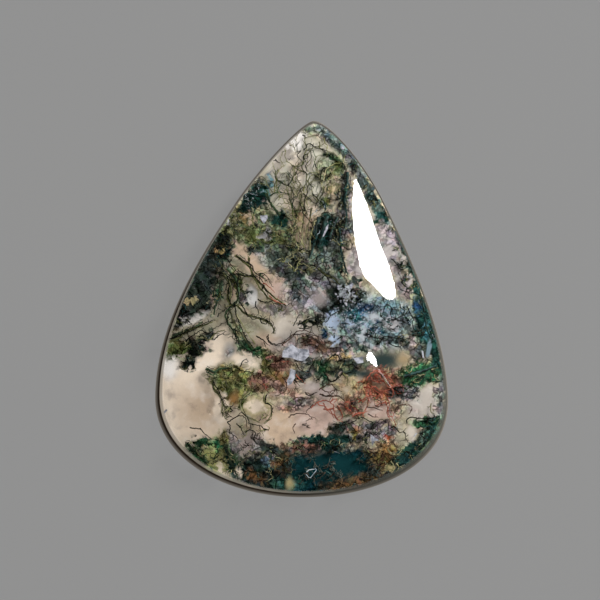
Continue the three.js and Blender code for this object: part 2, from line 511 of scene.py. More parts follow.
# Then the beds of moss, with torn edges
BEDS = [
    # Left
    (GLOOM, (-9.2, 3.3), (5.0, 1.9), 62, 0.2),
    (GLOOM, (-7.7, 6.3), (1.5, 0.8), 60, 0.3),
    (PINE, (-7.1, 4.3), (0.5, 1.5), -5, 0.4),
    (NIGHT, (-11.7, -0.7), (0.5, 1.6), -8, 0.3),
    (GLOOM, (-9.2, 0.6), (0.9, 1.1), 0, 0.4),
    (SAGE, (-10.1, -2.3), (2.6, 0.55), 18, 0.4),
    (GLOOM, (-9.0, -2.6), (1.1, 0.35), 20, 0.4),
    (NIGHT, (-10.2, -3.8), (1.4, 0.8), 0, 0.3),
    (NIGHT, (-10.7, -5.2), (1.0, 0.6), 30, 0.3),
    (OLIVE, (-12.0, -3.9), (1.4, 0.9), 0, 0.4),
    (SAGE, (-6.5, 0.6), (1.3, 3.1), 8, 0.5),
    (OLIVE, (-6.1, 2.2), (0.5, 1.6), 10, 0.5),
    (REED, (-5.9, -2.4), (0.45, 1.9), 28, 0.5),
    (FOREST, (-4.6, -4.0), (1.9, 0.5), -22, 0.5),
    (OLIVE, (-3.4, -5.3), (1.0, 0.9), -30, 0.6),
    (HEATHER, (-2.0, -0.1), (2.2, 0.5), 0, 0.6),
    # Upper left
    (MOSS, (-6.2, 8.3), (1.9, 1.6), 45, 0.3),
    (REED, (-3.9, 7.7), (3.4, 1.7), -12, 0.3),
    (OLIVE, (-3.2, 6.2), (2.8, 1.1), -15, 0.4),
    (GLOOM, (-4.4, 5.5), (0.8, 0.6), 0, 0.5),
    (PINE, (-4.6, 10.4), (2.1, 1.05), 60, 0.3),
    (PINE, (-2.0, 8.4), (1.0, 0.8), 0, 0.4),
    (TAN, (0.2, 8.6), (1.2, 1.7), 0, 0.5),
    (TARN, (-1.5, 4.0), (2.5, 1.5), -38, 0.4),
    (SLATE, (-5.4, 1.0), (0.5, 0.6), 0, 0.5),
    (SLATE, (-1.9, 3.6), (0.9, 1.0), 0, 0.5),
    (SLATE, (-0.6, 2.4), (0.5, 1.4), 5, 0.5),
    (GLOOM, (-0.5, 3.9), (0.7, 0.9), 0, 0.5),
    # Right of the spray
    (PINE, (2.0, 7.2), (1.1, 2.1), -14, 0.3),
    (SLATE, (3.9, 10.0), (0.55, 3.3), -3, 0.3),
    (SLATE, (3.6, 7.1), (1.0, 2.3), -12, 0.4),
    (TARN, (3.3, 4.0), (0.7, 2.2), 8, 0.4),
    (TARN, (1.6, 4.6), (1.5, 1.1), 0, 0.4),
    (SMOKE, (2.0, 2.6), (1.5, 0.9), -35, 0.5),
    (DUSK, (6.0, 11.9), (0.6, 2.6), 27, 0.3),
    (DUSK, (7.1, 9.6), (0.7, 2.0), 27, 0.3),
    (PINE, (7.6, 8.7), (0.8, 0.5), 30, 0.2),
    (SLATE, (5.0, 13.4), (0.6, 1.4), 32, 0.4),
    # Centre right and the right edge
    (NIGHT, (3.9, 1.3), (1.6, 1.2), 0, 0.3),
    (NIGHT, (2.6, -0.2), (1.0, 0.5), 20, 0.4),
    (GLOOM, (4.9, 2.5), (0.7, 0.3), -15, 0.4),
    (SLATE, (3.2, -3.8), (1.3, 0.35), 20, 0.5),
    (STEEL, (8.3, 0.2), (1.6, 0.7), -30, 0.5),
    (PINE, (10.5, 4.0), (0.6, 1.9), 20, 0.4),
    (PINE, (11.0, 2.0), (0.6, 1.6), 15, 0.4),
    (ESTUARY, (9.6, 5.6), (0.55, 3.0), 22, 0.5),
    (SLATE, (13.3, -8.0), (0.6, 2.4), 0, 0.5),
    (PINE, (11.8, -1.6), (1.5, 3.2), 12, 0.3),
    (NAVY, (10.6, 0.1), (0.5, 0.9), 0, 0.5),
    (HARBOUR, (11.8, -2.4), (0.5, 0.7), 0, 0.5),
    (SLATE, (8.0, -2.9), (1.9, 0.4), -5, 0.5),
    (JADE, (11.1, -6.3), (2.2, 1.1), 10, 0.3),
    (PINE, (12.8, -4.6), (0.6, 2.0), 8, 0.4),
    (SMOKE, (9.7, -7.9), (1.3, 0.7), -20, 0.5),
    (SLATE, (10.8, -4.4), (1.0, 0.6), 0, 0.4),
    # Middle
    (GLOOM, (3.5, -5.6), (3.4, 0.75), 3, 0.4),
    (REED, (3.4, -5.4), (1.2, 0.3), 0, 0.7),
    (FOREST, (1.8, -6.0), (0.7, 1.1), 0, 0.5),
    (BRAMBLE, (1.2, -3.4), (1.9, 0.5), -18, 0.6),
    (SLATE, (0.2, -4.8), (1.1, 0.45), 0, 0.5),
    (SLATE, (-0.2, -6.2), (1.5, 0.7), 0, 0.5),
    (NIGHT, (0.6, -1.3), (1.6, 0.3), 5, 0.4),
    (RUST, (7.4, -7.2), (1.8, 1.5), -10, 0.6),
    (SLATE, (8.9, -8.2), (0.8, 0.7), 0, 0.7),
    (BRICK, (-2.2, -5.3), (1.1, 0.8), -10, 0.6),
    (UMBER, (-2.3, -6.5), (1.6, 0.5), 0, 0.7),
    (MOSS, (-6.4, -6.9), (2.4, 1.6), -12, 0.3),
    (BRAMBLE, (-4.0, -7.1), (0.9, 0.7), 0, 0.5),
    # Foot
    (DEEP_TEAL, (2.8, -15.8), (6.8, 2.7), 3, 0.2),
    (PINE, (1.6, -12.7), (3.0, 0.7), 4, 0.3),
    (PINE, (4.4, -12.1), (2.3, 0.8), 10, 0.4),
    (GRAPE, (6.6, -11.6), (2.5, 0.95), 2, 0.3),
    (GLOOM, (3.3, -11.2), (1.0, 0.45), 0, 0.5),
    (BRICK, (0.2, -13.3), (1.8, 0.55), -8, 0.5),
    (OCHRE, (7.9, -13.9), (1.5, 1.2), 10, 0.4),
    (OCHRE, (5.1, -11.8), (0.6, 0.4), 0, 0.5),
    (ESTUARY, (-3.9, -15.7), (2.8, 1.9), -18, 0.3),
    (GLOOM, (-2.7, -13.4), (1.9, 0.55), -10, 0.4),
    (STEEL, (-3.2, -14.4), (0.6, 0.35), 0, 0.4),
    (UMBER, (-1.8, -14.6), (0.9, 0.8), 0, 0.5),
    (UMBER, (-4.2, -16.0), (0.9, 0.5), -15, 0.6),
    (UMBER, (5.0, -16.3), (3.0, 0.7), 12, 0.5),
    (FOREST, (-9.7, -14.4), (1.8, 0.6), -38, 0.3),
    (FOREST, (-9.5, -12.8), (0.9, 0.6), 0, 0.3),
    (PINE, (-6.7, -14.4), (0.5, 1.9), 10, 0.3),
    (JADE, (-8.0, -13.0), (0.8, 0.5), 0, 0.5),
    (ASH, (-6.4, -12.6), (0.5, 1.1), 10, 0.5),
    (SURF, (12.1, -12.2), (0.9, 2.6), -36, 0.3),
    (FOREST, (11.6, -10.8), (1.6, 0.5), 5, 0.4),
    (PINE, (10.2, -13.9), (2.2, 1.1), 40, 0.3),
    (TARN, (11.2, -12.6), (0.4, 0.5), 0, 0.5),
]
# Last the small crisp spots that lie on the beds
SPOTS = [
    (MILK, (-0.35, 15.9), (1.1, 0.7), 38, 0.3),
    # Painted shade: a grey band along the rim at the tip.
    (ASH, (-0.6, 17.1), (1.5, 0.35), 46, 0.4),
    (BONE, (-2.5, 13.3), (0.7, 0.9), -20, 0.4),
    (LINEN, (-1.5, 14.8), (0.8, 0.8), -30, 0.4),
    (CREAM, (-0.8, 9.9), (0.8, 0.8), 0, 0.5),
    (DUN, (2.7, 11.5), (0.8, 1.2), 0, 0.5),
    (STEEL, (-3.1, 11.8), (0.3, 1.1), -18, 0.6),
    (OLIVE, (3.1, 13.5), (0.6, 0.6), 0, 0.6),
    (FOREST, (2.8, 14.4), (0.7, 0.3), -20, 0.5),
    (OLIVE, (2.2, 10.0), (0.7, 0.6), 0, 0.5),
    (ASH, (4.4, 10.5), (0.3, 2.0), 0, 0.5),
    (CREAM, (0.8, 9.2), (0.6, 0.7), 0, 0.5),
    (LILAC, (-3.3, 7.0), (0.6, 0.4), 0, 0.6),
    (BISCUIT, (-0.4, 7.0), (0.3, 1.1), 8, 0.4),
    (BISCUIT, (0.5, 7.9), (0.3, 1.0), -10, 0.4),
    (BISCUIT, (-4.8, 8.5), (0.4, 0.6), 10, 0.4),
    (AMBER, (-5.5, 8.6), (0.4, 0.5), 0, 0.5),
    (LILAC, (-6.9, 8.3), (0.45, 0.3), 50, 0.4),
    (AMBER, (-7.5, 5.5), (0.4, 0.3), 0, 0.5),
    (SAGE, (-5.9, 4.4), (0.9, 0.4), -30, 0.4),
    (FERN, (-7.7, 1.5), (0.3, 0.8), 0, 0.5),
    (BISCUIT, (-6.7, 1.5), (0.3, 0.8), -8, 0.6),
    (STRAW, (-10.4, 0.7), (0.5, 0.3), 30, 0.4),
    (FROST, (4.1, 1.5), (0.7, 0.6), 0, 0.5),
    (DUSK, (5.1, -3.4), (1.4, 0.4), -10, 0.5),
    (SKY, (2.9, -1.2), (0.65, 0.8), 0, 0.4),
    (SKY, (3.1, -2.9), (0.7, 0.45), 20, 0.4),
    (NAVY, (2.1, -2.3), (0.5, 0.4), 0, 0.4),
    (NIGHT, (3.7, -0.1), (0.7, 0.4), 0, 0.5),
    (HARBOUR, (5.0, -0.7), (0.8, 0.6), 0, 0.5),
    (NAVY, (5.9, 0.0), (0.9, 0.5), 10, 0.5),
    (FROST, (7.1, -0.9), (0.6, 0.5), 0, 0.4),
    (NAVY, (6.8, -1.9), (0.4, 0.25), 0, 0.4),
    (SKY, (4.6, -1.6), (0.5, 0.4), 0, 0.5),
    (FROST, (5.7, -2.5), (0.35, 0.35), 0, 0.4),
    (AMBER, (4.1, -4.4), (0.5, 0.35), 0, 0.5),
    (AMBER, (2.8, -4.8), (0.5, 0.25), 10, 0.4),
    (TAN, (7.2, -6.9), (0.5, 0.5), 0, 0.5),
    (STRAW, (-4.3, -9.2), (1.1, 1.1), 0, 0.3),
    (CREAM, (-4.3, -9.2), (0.8, 0.8), 0, 0.4),
    (RUST, (8.4, -12.3), (0.35, 0.4), 0, 0.6),
    (STRAW, (8.2, -15.3), (0.5, 0.3), 20, 0.6),
    (SURF, (-1.4, -16.4), (1.2, 0.6), 0, 0.6),
    (CREAM, (-5.9, -15.5), (0.4, 0.6), 0, 0.5),
    (PEAR, (-8.4, -14.1), (0.6, 1.1), 15, 0.5),
    (CREAM, (-7.6, -15.2), (0.3, 0.6), 20, 0.5),
    (OLIVE, (-7.0, -8.2), (0.6, 0.5), 0, 0.5),
    (OLIVE, (-5.7, -9.0), (0.5, 0.6), 0, 0.6),
    (CREAM, (-7.9, -9.4), (0.5, 0.8), 0, 0.5),
    (MOSS, (-7.2, -12.3), (0.45, 0.8), 0, 0.6),
]
# Over all of it the smooth, blurred patches
BLURS = [
    (HEATHER, (1.5, 0.9), (0.7, 0.7), 0, 0.8),
    (TEAL_GREY, (7.5, -4.8), (1.8, 0.8), 0, 0.7),
    (TEAL_GREY, (5.8, -6.2), (0.8, 0.4), 0, 0.9),
    (TAN, (9.4, -4.8), (0.5, 0.5), 0, 0.9),
    (FERN, (11.2, -6.3), (1.3, 0.5), 10, 0.9),
    (CLAY, (7.3, -6.8), (0.8, 0.7), 0, 0.9),
    (GINGER, (-6.4, -8.6), (0.5, 0.5), 0, 0.8),
    (LOCH, (2.6, -14.9), (3.2, 1.3), 3, 0.7),
    (STRAW, (-1.25, -16.5), (0.35, 0.6), -12, 0.8),
    (LAGOON, (11.85, -3.9), (0.25, 0.8), -14, 0.3),
]


def lay(finish, plan, under, rows):
    """Lays ovals of colour over what is under them, each with its own softness of edge."""
    for colour, at, half, turn, soft in rows:
        middle = np.array([*at, 0.0])
        shrink = np.array([1 / half[0], 1 / half[1], 0.0])
        turned = finish.node(
            "ShaderNodeVectorRotate",
            {"rotation_type": "Z_AXIS"},
            {"Vector": plan, "Center": middle, "Angle": -math.radians(turn)},
        )
        local = finish.vector("MULTIPLY_ADD", turned, shrink, -middle * shrink)
        reach = finish.vector("LENGTH", local, out="Value")
        under = finish.mix(under, colour, reach.between(1 + soft, 1 - soft))
    return under


# The stone between the windows, and the strength of what varies over it
SAND = ink(179, 165, 140)
PUTTY = ink(151, 144, 122)
SMOKY_WISPS = 0.4
WHITE_WISPS = 0.35
CELL_NUDGE = 0.5
LIGHTEST_MOSS = 0.42  # colours lighter than this are smooth stone
FULL_MOSS = 0.16  # and those darker than this all moss
WEB_DARKNESS = 0.85
FINE_WEB_DARKNESS = 0.6
WEB_MADE_UP = 1.7  # brightens the cells for what their dark edges take away
BRIGHTEST_CELL = 2.3
MOSS_GRAIN = 0.35
STONE_GRAIN = 0.15
LIFT = 1.04
HUE_SPREAD = (0.36, 0.26, 0.3)
LEAST_HUE = (0.82, 0.88, 0.82)
SIDE_GLOW = 0.5
cloud = Finish("chalcedony_clouds")
modelled = cloud.place()
slide = cloud.scaled((LEAN, LEAN, 0), cloud.axis(modelled, "Z") - AIM_HEIGHT)
seen = cloud.vector("ADD", modelled, slide)
plan = cloud.flattened(seen)
wavy = cloud.shifted(plan, per_mm=0.45, reach=0.5)
drawn = cloud.flattened(wavy)
crinkled = cloud.shifted(wavy, per_mm=1.4, reach=0.6, detail=3.0)
grains = cloud.shifted(cloud.shifted(plan, per_mm=1.0, reach=0.3), per_mm=3.5, reach=0.1)
# Each small cell has its own shade, which also nudges the edges of the beds, so that they look torn.
scatter = cloud.cells(grains, per_mm=2.3, out="Color")
nudge = cloud.scaled(cloud.vector("SUBTRACT", scatter, (0.5,) * 3), CELL_NUDGE)
torn = cloud.flattened(cloud.vector("ADD", crinkled, nudge))
colour = cloud.mix(SAND, PUTTY, cloud.noise(seen, per_mm=0.5, detail=4.0))
colour = lay(cloud, drawn, colour, WINDOWS)
# Smoky and white wisps drift through the windows, but not over the beds of moss.
wisps = cloud.noise(wavy, per_mm=0.7, detail=4.0)
colour = cloud.mix(colour, MAUVE, wisps.between(0.5, 0.75) * SMOKY_WISPS)
colour = cloud.mix(colour, MILK, wisps.between(0.5, 0.25) * WHITE_WISPS)
colour = lay(cloud, torn, colour, BEDS)
colour = lay(cloud, torn, colour, SPOTS)
# The darker a place is, the more of it is moss, which is what has cells, lines and grain.
mossy = cloud.node("ShaderNodeRGBToBW", None, {"Color": colour}).between(LIGHTEST_MOSS, FULL_MOSS)


def uneven(finish, plan, per_mm, spread):
    """A brightness with a mean of 1 that differs from cell to cell: mostly a little dark, some bright."""
    chance = finish.node("ShaderNodeSeparateColor", None, {"Color": finish.cells(plan, per_mm, out="Color")})
    return chance * chance * (3 * spread) + (1 - spread)


# The moss is a mat of bright and dark cells with dark lines between them, under a fine grain.
coarse = uneven(cloud, grains, per_mm=1.5, spread=0.4)
fine = uneven(cloud, grains, per_mm=3.6, spread=0.5)
edge = cloud.cells(grains, per_mm=1.3, feature="DISTANCE_TO_EDGE").between(0.10, 0.02)
fine_edge = cloud.cells(grains, per_mm=3.0, feature="DISTANCE_TO_EDGE").between(0.14, 0.03)
web = cloud.noise(seen, per_mm=0.9, detail=2.0).between(0.42, 0.56)
lines = (1 - edge * web * WEB_DARKNESS) * (1 - fine_edge * FINE_WEB_DARKNESS)
cell_light = coarse * fine * lines * WEB_MADE_UP
cell_light = cell_light.maths("MINIMUM", cell_light, BRIGHTEST_CELL)
brightness = (cell_light - 1) * mossy + 1
grain = cloud.noise(seen, per_mm=5.0, detail=3.0, roughness=0.7) - 0.5
grain = grain * (mossy * MOSS_GRAIN + STONE_GRAIN) + LIFT
# Its hue differs a little from cell to cell.
hue = cloud.vector("MULTIPLY_ADD", scatter, HUE_SPREAD, LEAST_HUE)
colour = cloud.mix(colour, cloud.vector("MULTIPLY", colour, hue), mossy)
colour = cloud.scaled(colour, brightness)
colour = lay(cloud, drawn, colour, BLURS)
colour = cloud.scaled(colour, grain)
# The steep sides get a painted glow: emission that stands in for light spread through the milky stone and
# lifts their shade.
upright = cloud.axis(cloud.node("ShaderNodeTexCoord", out="Normal"), "Z")
chalcedony = cloud.surface(
    **{
        "Base Color": colour,
        "Roughness": 0.6,
        "Specular IOR Level": 0.0,
        "Emission Color": cloud.scaled(colour, (1 - upright) * SIDE_GLOW),
        "Emission Strength": 1.0,
    }
)
heart.data.materials.append(chalcedony)
heart.visible_shadow = False
heart.visible_diffuse = False
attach(heart, "root")


# The moss
# Not a plant but fine threads of green and brown minerals that grew through the agate while it was still
# a gel: sprays from a common root, tangled mats and single veins. They hang in the clear layer between
# the cloudy heart and the polished skin, some near the skin and crisp, others half sunk in the cloud.
GRID_STEP = 0.2
grid_x = np.arange(-WIDTH / 2, WIDTH / 2 + GRID_STEP, GRID_STEP)
grid_y = np.arange(-LENGTH / 2, LENGTH / 2 + GRID_STEP, GRID_STEP)


def height_grid(piece):
    """The height of a piece's upper side over a grid of its plan, and nan beside it."""
    points = [v.co / MM for v in piece.data.vertices]
    tree = BVHTree.FromPolygons(points, [tuple(f.vertices) for f in piece.data.polygons])
    heights = np.full((len(grid_x), len(grid_y)), np.nan)
    down = Vector((0, 0, -1))
    for i, x in enumerate(grid_x):
        for j, y in enumerate(grid_y):
            hit = tree.ray_cast(Vector((x, y, HEIGHT * 2)), down)[0]
            if hit is not None:
                heights[i, j] = hit.z
    return heights


def height_at(heights, places):
    """Heights at places of the plan, between the four nearest nodes of the grid."""
    u = np.clip((places[..., 0] - grid_x[0]) / GRID_STEP, 0, len(grid_x) - 1.001)
    v = np.clip((places[..., 1] - grid_y[0]) / GRID_STEP, 0, len(grid_y) - 1.001)
    i, j = u.astype(int), v.astype(int)
    u, v = u - i, v - j
    near = heights[i, j] * (1 - u) + heights[i + 1, j] * u
    far = heights[i, j + 1] * (1 - u) + heights[i + 1, j + 1] * u
    return near * (1 - v) + far * v


def as_modelled(places, heights):
    """Where marks at these heights lie, from where the leaning view shows them."""
    return places - LEAN * (np.asarray(heights)[..., None] - AIM_HEIGHT)


skin = height_grid(stone)
cloud_top = height_grid(heart)

# How a kind of moss grows: roots to a square millimetre, stems from a root, steps in a stem, how fast its
# heading wanders and how much it crinkles in radians, side shoots on a stem, and their length as a share
# of it
Habit = namedtuple("Habit", "roots stems steps wander crinkle shoots shoot_share")
HABITS = {
    "spray": Habit(0.0, 1, 24, 0.22, 0.46, 6, 0.22),
    "tuft": Habit(0.75, 4, 9, 0.34, 0.55, 2, 0.60),
    "thicket": Habit(1.7, 5, 9, 0.38, 0.60, 2, 0.60),
    "sparse": Habit(0.35, 3, 9, 0.30, 0.50, 2, 0.55),
    "twigs": Habit(0.75, 1, 20, 0.15, 0.22, 3, 0.34),
}
# The minerals, each as its deepest and its brightest colour, and the blends in which they grow
THREAD_COLOURS = {
    "night": (ink(10, 15, 13), ink(40, 44, 34)),
    "teal": (ink(18, 50, 50), ink(64, 108, 104)),
    "green": (ink(32, 66, 44), ink(88, 118, 80)),
    "olive": (ink(74, 82, 44), ink(140, 142, 88)),
    "straw": (ink(140, 140, 92), ink(190, 184, 142)),
    "rust": (ink(134, 58, 44), ink(196, 112, 90)),
    "umber": (ink(48, 36, 32), ink(104, 78, 64)),
    "pale": (ink(150, 168, 180), ink(212, 220, 222)),
}
BLENDS = {
    "black": {"night": 0.86, "teal": 0.07, "olive": 0.07},
    "dark": {"night": 0.62, "teal": 0.12, "green": 0.12, "straw": 0.14},
    "olive": {"olive": 0.38, "night": 0.30, "straw": 0.32},
    "fan": {"olive": 0.42, "green": 0.22, "straw": 0.22, "night": 0.14},
    "straw": {"straw": 0.5, "olive": 0.25, "night": 0.25},
    "green": {"green": 0.5, "night": 0.3, "straw": 0.2},
    "teal": {"teal": 0.5, "night": 0.35, "pale": 0.15},
    "rust": {"rust": 0.8, "night": 0.1, "straw": 0.1},
    "brown": {"umber": 0.5, "olive": 0.2, "night": 0.3},
    "ice": {"pale": 0.3, "teal": 0.4, "night": 0.3},
    "web": {"night": 0.55, "teal": 0.3, "pale": 0.15},
    "sea": {"teal": 0.55, "green": 0.2, "night": 0.25},
    "deep": {"teal": 0.6, "night": 0.3, "umber": 0.1},
}
# Each bed of moss: habit, blend, middle, half-axes, their turn, the way its threads run, how far they
# stray from it, their length, and how deep they lie, from 0 at the skin to 1 at the cloud
THREAD_BEDS = [
    # Left
    ("tuft", "black", (-9.5, 3.4), (4.8, 1.5), 62, 60, 180, 0.8, 0.3),
    ("thicket", "black", (-7.7, 6.2), (1.5, 0.8), 60, 60, 180, 0.8, 0.3),
    ("thicket", "black", (-11.4, -0.6), (0.6, 1.8), -8, 60, 180, 0.7, 0.3),
    ("thicket", "black", (-10.2, -3.8), (0.9, 0.7), 0, 0, 180, 0.7, 0.3),
    ("thicket", "black", (-11.0, -5.2), (0.8, 0.5), 30, 0, 180, 0.6, 0.3),
    ("tuft", "olive", (-11.7, -3.8), (1.1, 0.9), 0, 0, 180, 0.8, 0.4),
    ("sparse", "olive", (-10.3, -2.2), (2.6, 0.4), 20, 20, 60, 0.8, 0.3),
    ("tuft", "dark", (-9.3, 0.6), (0.9, 1.0), 0, 25, 180, 0.8, 0.3),
    ("twigs", "olive", (-6.9, 0.6), (0.7, 2.8), 8, -85, 30, 1.6, 0.4),
    ("sparse", "dark", (-5.8, -2.6), (0.4, 1.7), 28, -62, 30, 1.2, 0.4),
    ("tuft", "green", (-4.6, -4.1), (1.6, 0.35), -22, -20, 60, 0.9, 0.5),
    ("sparse", "olive", (-3.2, -4.9), (1.2, 1.0), -30, -30, 180, 1.0, 0.5),
    ("tuft", "olive", (-2.9, 0.2), (1.3, 0.4), -10, 0, 60, 1.0, 0.4),
    ("sparse", "dark", (-3.8, 2.4), (2.4, 0.9), -40, -40, 50, 1.6, 0.3),
    # Upper left
    ("tuft", "olive", (-6.2, 8.3), (1.9, 1.6), 45, 60, 180, 1.0, 0.4),
    ("tuft", "fan", (-3.9, 7.3), (3.5, 1.5), -12, 95, 80, 1.0, 0.4),
    ("tuft", "dark", (-1.8, 6.4), (2.0, 1.4), -35, 95, 90, 1.0, 0.4),
    ("twigs", "fan", (-0.1, 11.7), (2.8, 3.4), 0, 92, 38, 3.0, 0.4),
    ("twigs", "fan", (-0.1, 11.2), (2.8, 2.8), 0, 92, 44, 2.6, 0.6),
    ("thicket", "teal", (-4.7, 11.0), (1.8, 0.9), 60, 60, 180, 0.8, 0.5),
    ("tuft", "olive", (-0.9, 4.3), (2.1, 1.4), -20, 85, 60, 1.2, 0.4),
    ("twigs", "straw", (0.2, 7.4), (0.9, 1.9), 0, 95, 25, 1.6, 0.4),
    # Right of the spray
    ("tuft", "teal", (2.0, 7.4), (0.9, 2.0), -14, 75, 40, 1.4, 0.4),
    ("thicket", "dark", (3.8, 10.2), (0.6, 3.2), -3, 80, 180, 0.7, 0.4),
    ("tuft", "dark", (3.3, 6.6), (0.9, 2.6), -8, 80, 90, 1.0, 0.4),
    ("sparse", "dark", (2.0, 3.9), (1.6, 1.7), 0, -40, 60, 1.3, 0.4),
    ("thicket", "dark", (6.0, 11.9), (0.5, 2.5), 27, 115, 180, 0.7, 0.4),
    ("thicket", "dark", (7.3, 9.7), (0.6, 1.7), 27, 115, 180, 0.7, 0.4),
    ("sparse", "green", (3.0, 14.2), (1.2, 0.6), -25, 110, 60, 1.0, 0.4),
    ("sparse", "dark", (9.4, 5.6), (0.7, 3.2), 22, 115, 180, 0.6, 0.3),
    # Centre right and the right edge
    ("thicket", "black", (3.9, 1.3), (1.4, 1.0), 0, 0, 180, 0.6, 0.4),
    ("tuft", "ice", (5.6, 1.5), (1.3, 0.8), 0, 0, 180, 0.5, 0.4),
    ("tuft", "ice", (4.8, -1.2), (3.0, 2.0), -15, 0, 180, 0.4, 0.4),
    ("thicket", "web", (8.7, -0.2), (2.3, 1.4), -25, 0, 180, 0.35, 0.2),
    ("tuft", "web", (9.0, -2.3), (1.8, 0.9), -10, 0, 180, 0.5, 0.3),
    ("thicket", "dark", (10.2, 2.9), (1.1, 2.4), 15, 100, 180, 0.5, 0.3),
    ("thicket", "sea", (11.7, -1.0), (1.1, 2.6), 12, 90, 180, 0.6, 0.5),
    ("thicket", "green", (11.1, -6.2), (2.1, 1.0), 10, 0, 180, 0.8, 0.3),
    ("sparse", "dark", (8.2, -3.0), (2.4, 0.8), -5, 0, 60, 1.0, 0.5),
    ("tuft", "dark", (9.8, -7.5), (1.2, 0.6), -20, -30, 60, 0.6, 0.3),
    # Middle
    ("tuft", "dark", (3.9, -5.4), (2.5, 0.5), 4, 5, 40, 1.2, 0.4),
    ("tuft", "green", (1.8, -6.0), (0.7, 1.0), 0, 90, 60, 0.8, 0.5),
    ("tuft", "black", (0.7, -1.4), (1.7, 0.4), 5, 5, 30, 1.2, 0.3),
    ("sparse", "brown", (0.9, -3.4), (2.2, 1.0), -15, -15, 40, 1.2, 0.4),
    ("tuft", "rust", (7.2, -7.1), (1.7, 1.4), -15, -60, 120, 0.9, 0.35),
    ("sparse", "rust", (8.2, -8.2), (0.9, 1.6), 0, -70, 50, 1.3, 0.3),
    ("sparse", "rust", (-2.1, -5.3), (1.1, 0.8), 0, 0, 180, 0.8, 0.5),
    ("sparse", "rust", (-2.4, -7.4), (1.4, 0.9), 0, 0, 180, 0.9, 0.5),
    ("tuft", "rust", (4.3, -9.4), (1.3, 1.2), -20, -20, 180, 0.8, 0.5),
    ("sparse", "rust", (6.8, -9.0), (1.6, 1.2), 0, -70, 90, 0.9, 0.4),
    ("sparse", "brown", (0.1, -6.9), (1.4, 0.7), 0, 0, 60, 0.9, 0.4),
    ("sparse", "brown", (-0.3, -10.6), (1.0, 0.7), 0, 20, 120, 0.8, 0.4),
    ("tuft", "straw", (-6.4, -6.9), (2.3, 1.4), -12, 0, 180, 0.8, 0.4),
    ("tuft", "straw", (-6.5, -9.2), (0.9, 1.2), 0, -90, 60, 0.9, 0.3),
    ("tuft", "brown", (-4.8, -12.6), (1.3, 1.0), 0, 0, 180, 0.8, 0.3),
    ("sparse", "straw", (-4.9, -10.8), (1.5, 1.6), 0, -90, 180, 1.0, 0.3),
    # Foot
    ("tuft", "deep", (2.8, -15.5), (6.4, 1.8), 3, 0, 180, 0.7, 0.7),
    ("thicket", "dark", (1.5, -12.9), (2.9, 0.45), 4, 5, 60, 0.8, 0.4),
    ("tuft", "dark", (6.0, -11.5), (2.6, 0.8), 0, 0, 180, 0.8, 0.5),
    ("tuft", "brown", (7.4, -14.0), (1.9, 1.3), 10, 0, 180, 0.9, 0.4),
    ("tuft", "dark", (-4.0, -14.8), (2.7, 1.4), -15, 0, 180, 0.7, 0.5),
    ("tuft", "dark", (-2.6, -13.3), (1.9, 0.5), -20, -20, 60, 0.9, 0.3),
    ("tuft", "brown", (-1.8, -14.9), (1.1, 0.9), 0, 0, 180, 0.7, 0.4),
    ("thicket", "green", (-9.9, -13.9), (1.8, 0.5), -42, 60, 60, 0.9, 0.3),
    ("sparse", "green", (-8.0, -13.9), (1.0, 1.7), 0, 80, 50, 0.9, 0.3),
    ("tuft", "straw", (-8.1, -14.2), (0.9, 1.6), 0, 80, 50, 0.7, 0.2),
    ("thicket", "green", (-6.8, -14.4), (0.5, 1.6), 10, 95, 30, 1.0, 0.3),
    ("thicket", "sea", (12.1, -12.2), (0.8, 2.5), -36, 50, 180, 0.8, 0.4),
    ("tuft", "dark", (11.6, -10.5), (1.6, 0.35), 3, 0, 40, 1.0, 0.3),
    ("thicket", "dark", (10.3, -13.9), (1.4, 0.6), 40, 0, 180, 0.7, 0.4),
]
# The sprays: blend, root, spread of the root, the way they run, how far they fan out, their length, how
# many, depth
SPRAYS = [
    ("olive", (0.0, 8.8), (1.0, 0.9), 94, 40, 4.6, 4, 0.3),
    ("straw", (-0.2, 9.2), (1.4, 1.2), 96, 44, 4.0, 5, 0.6),
]
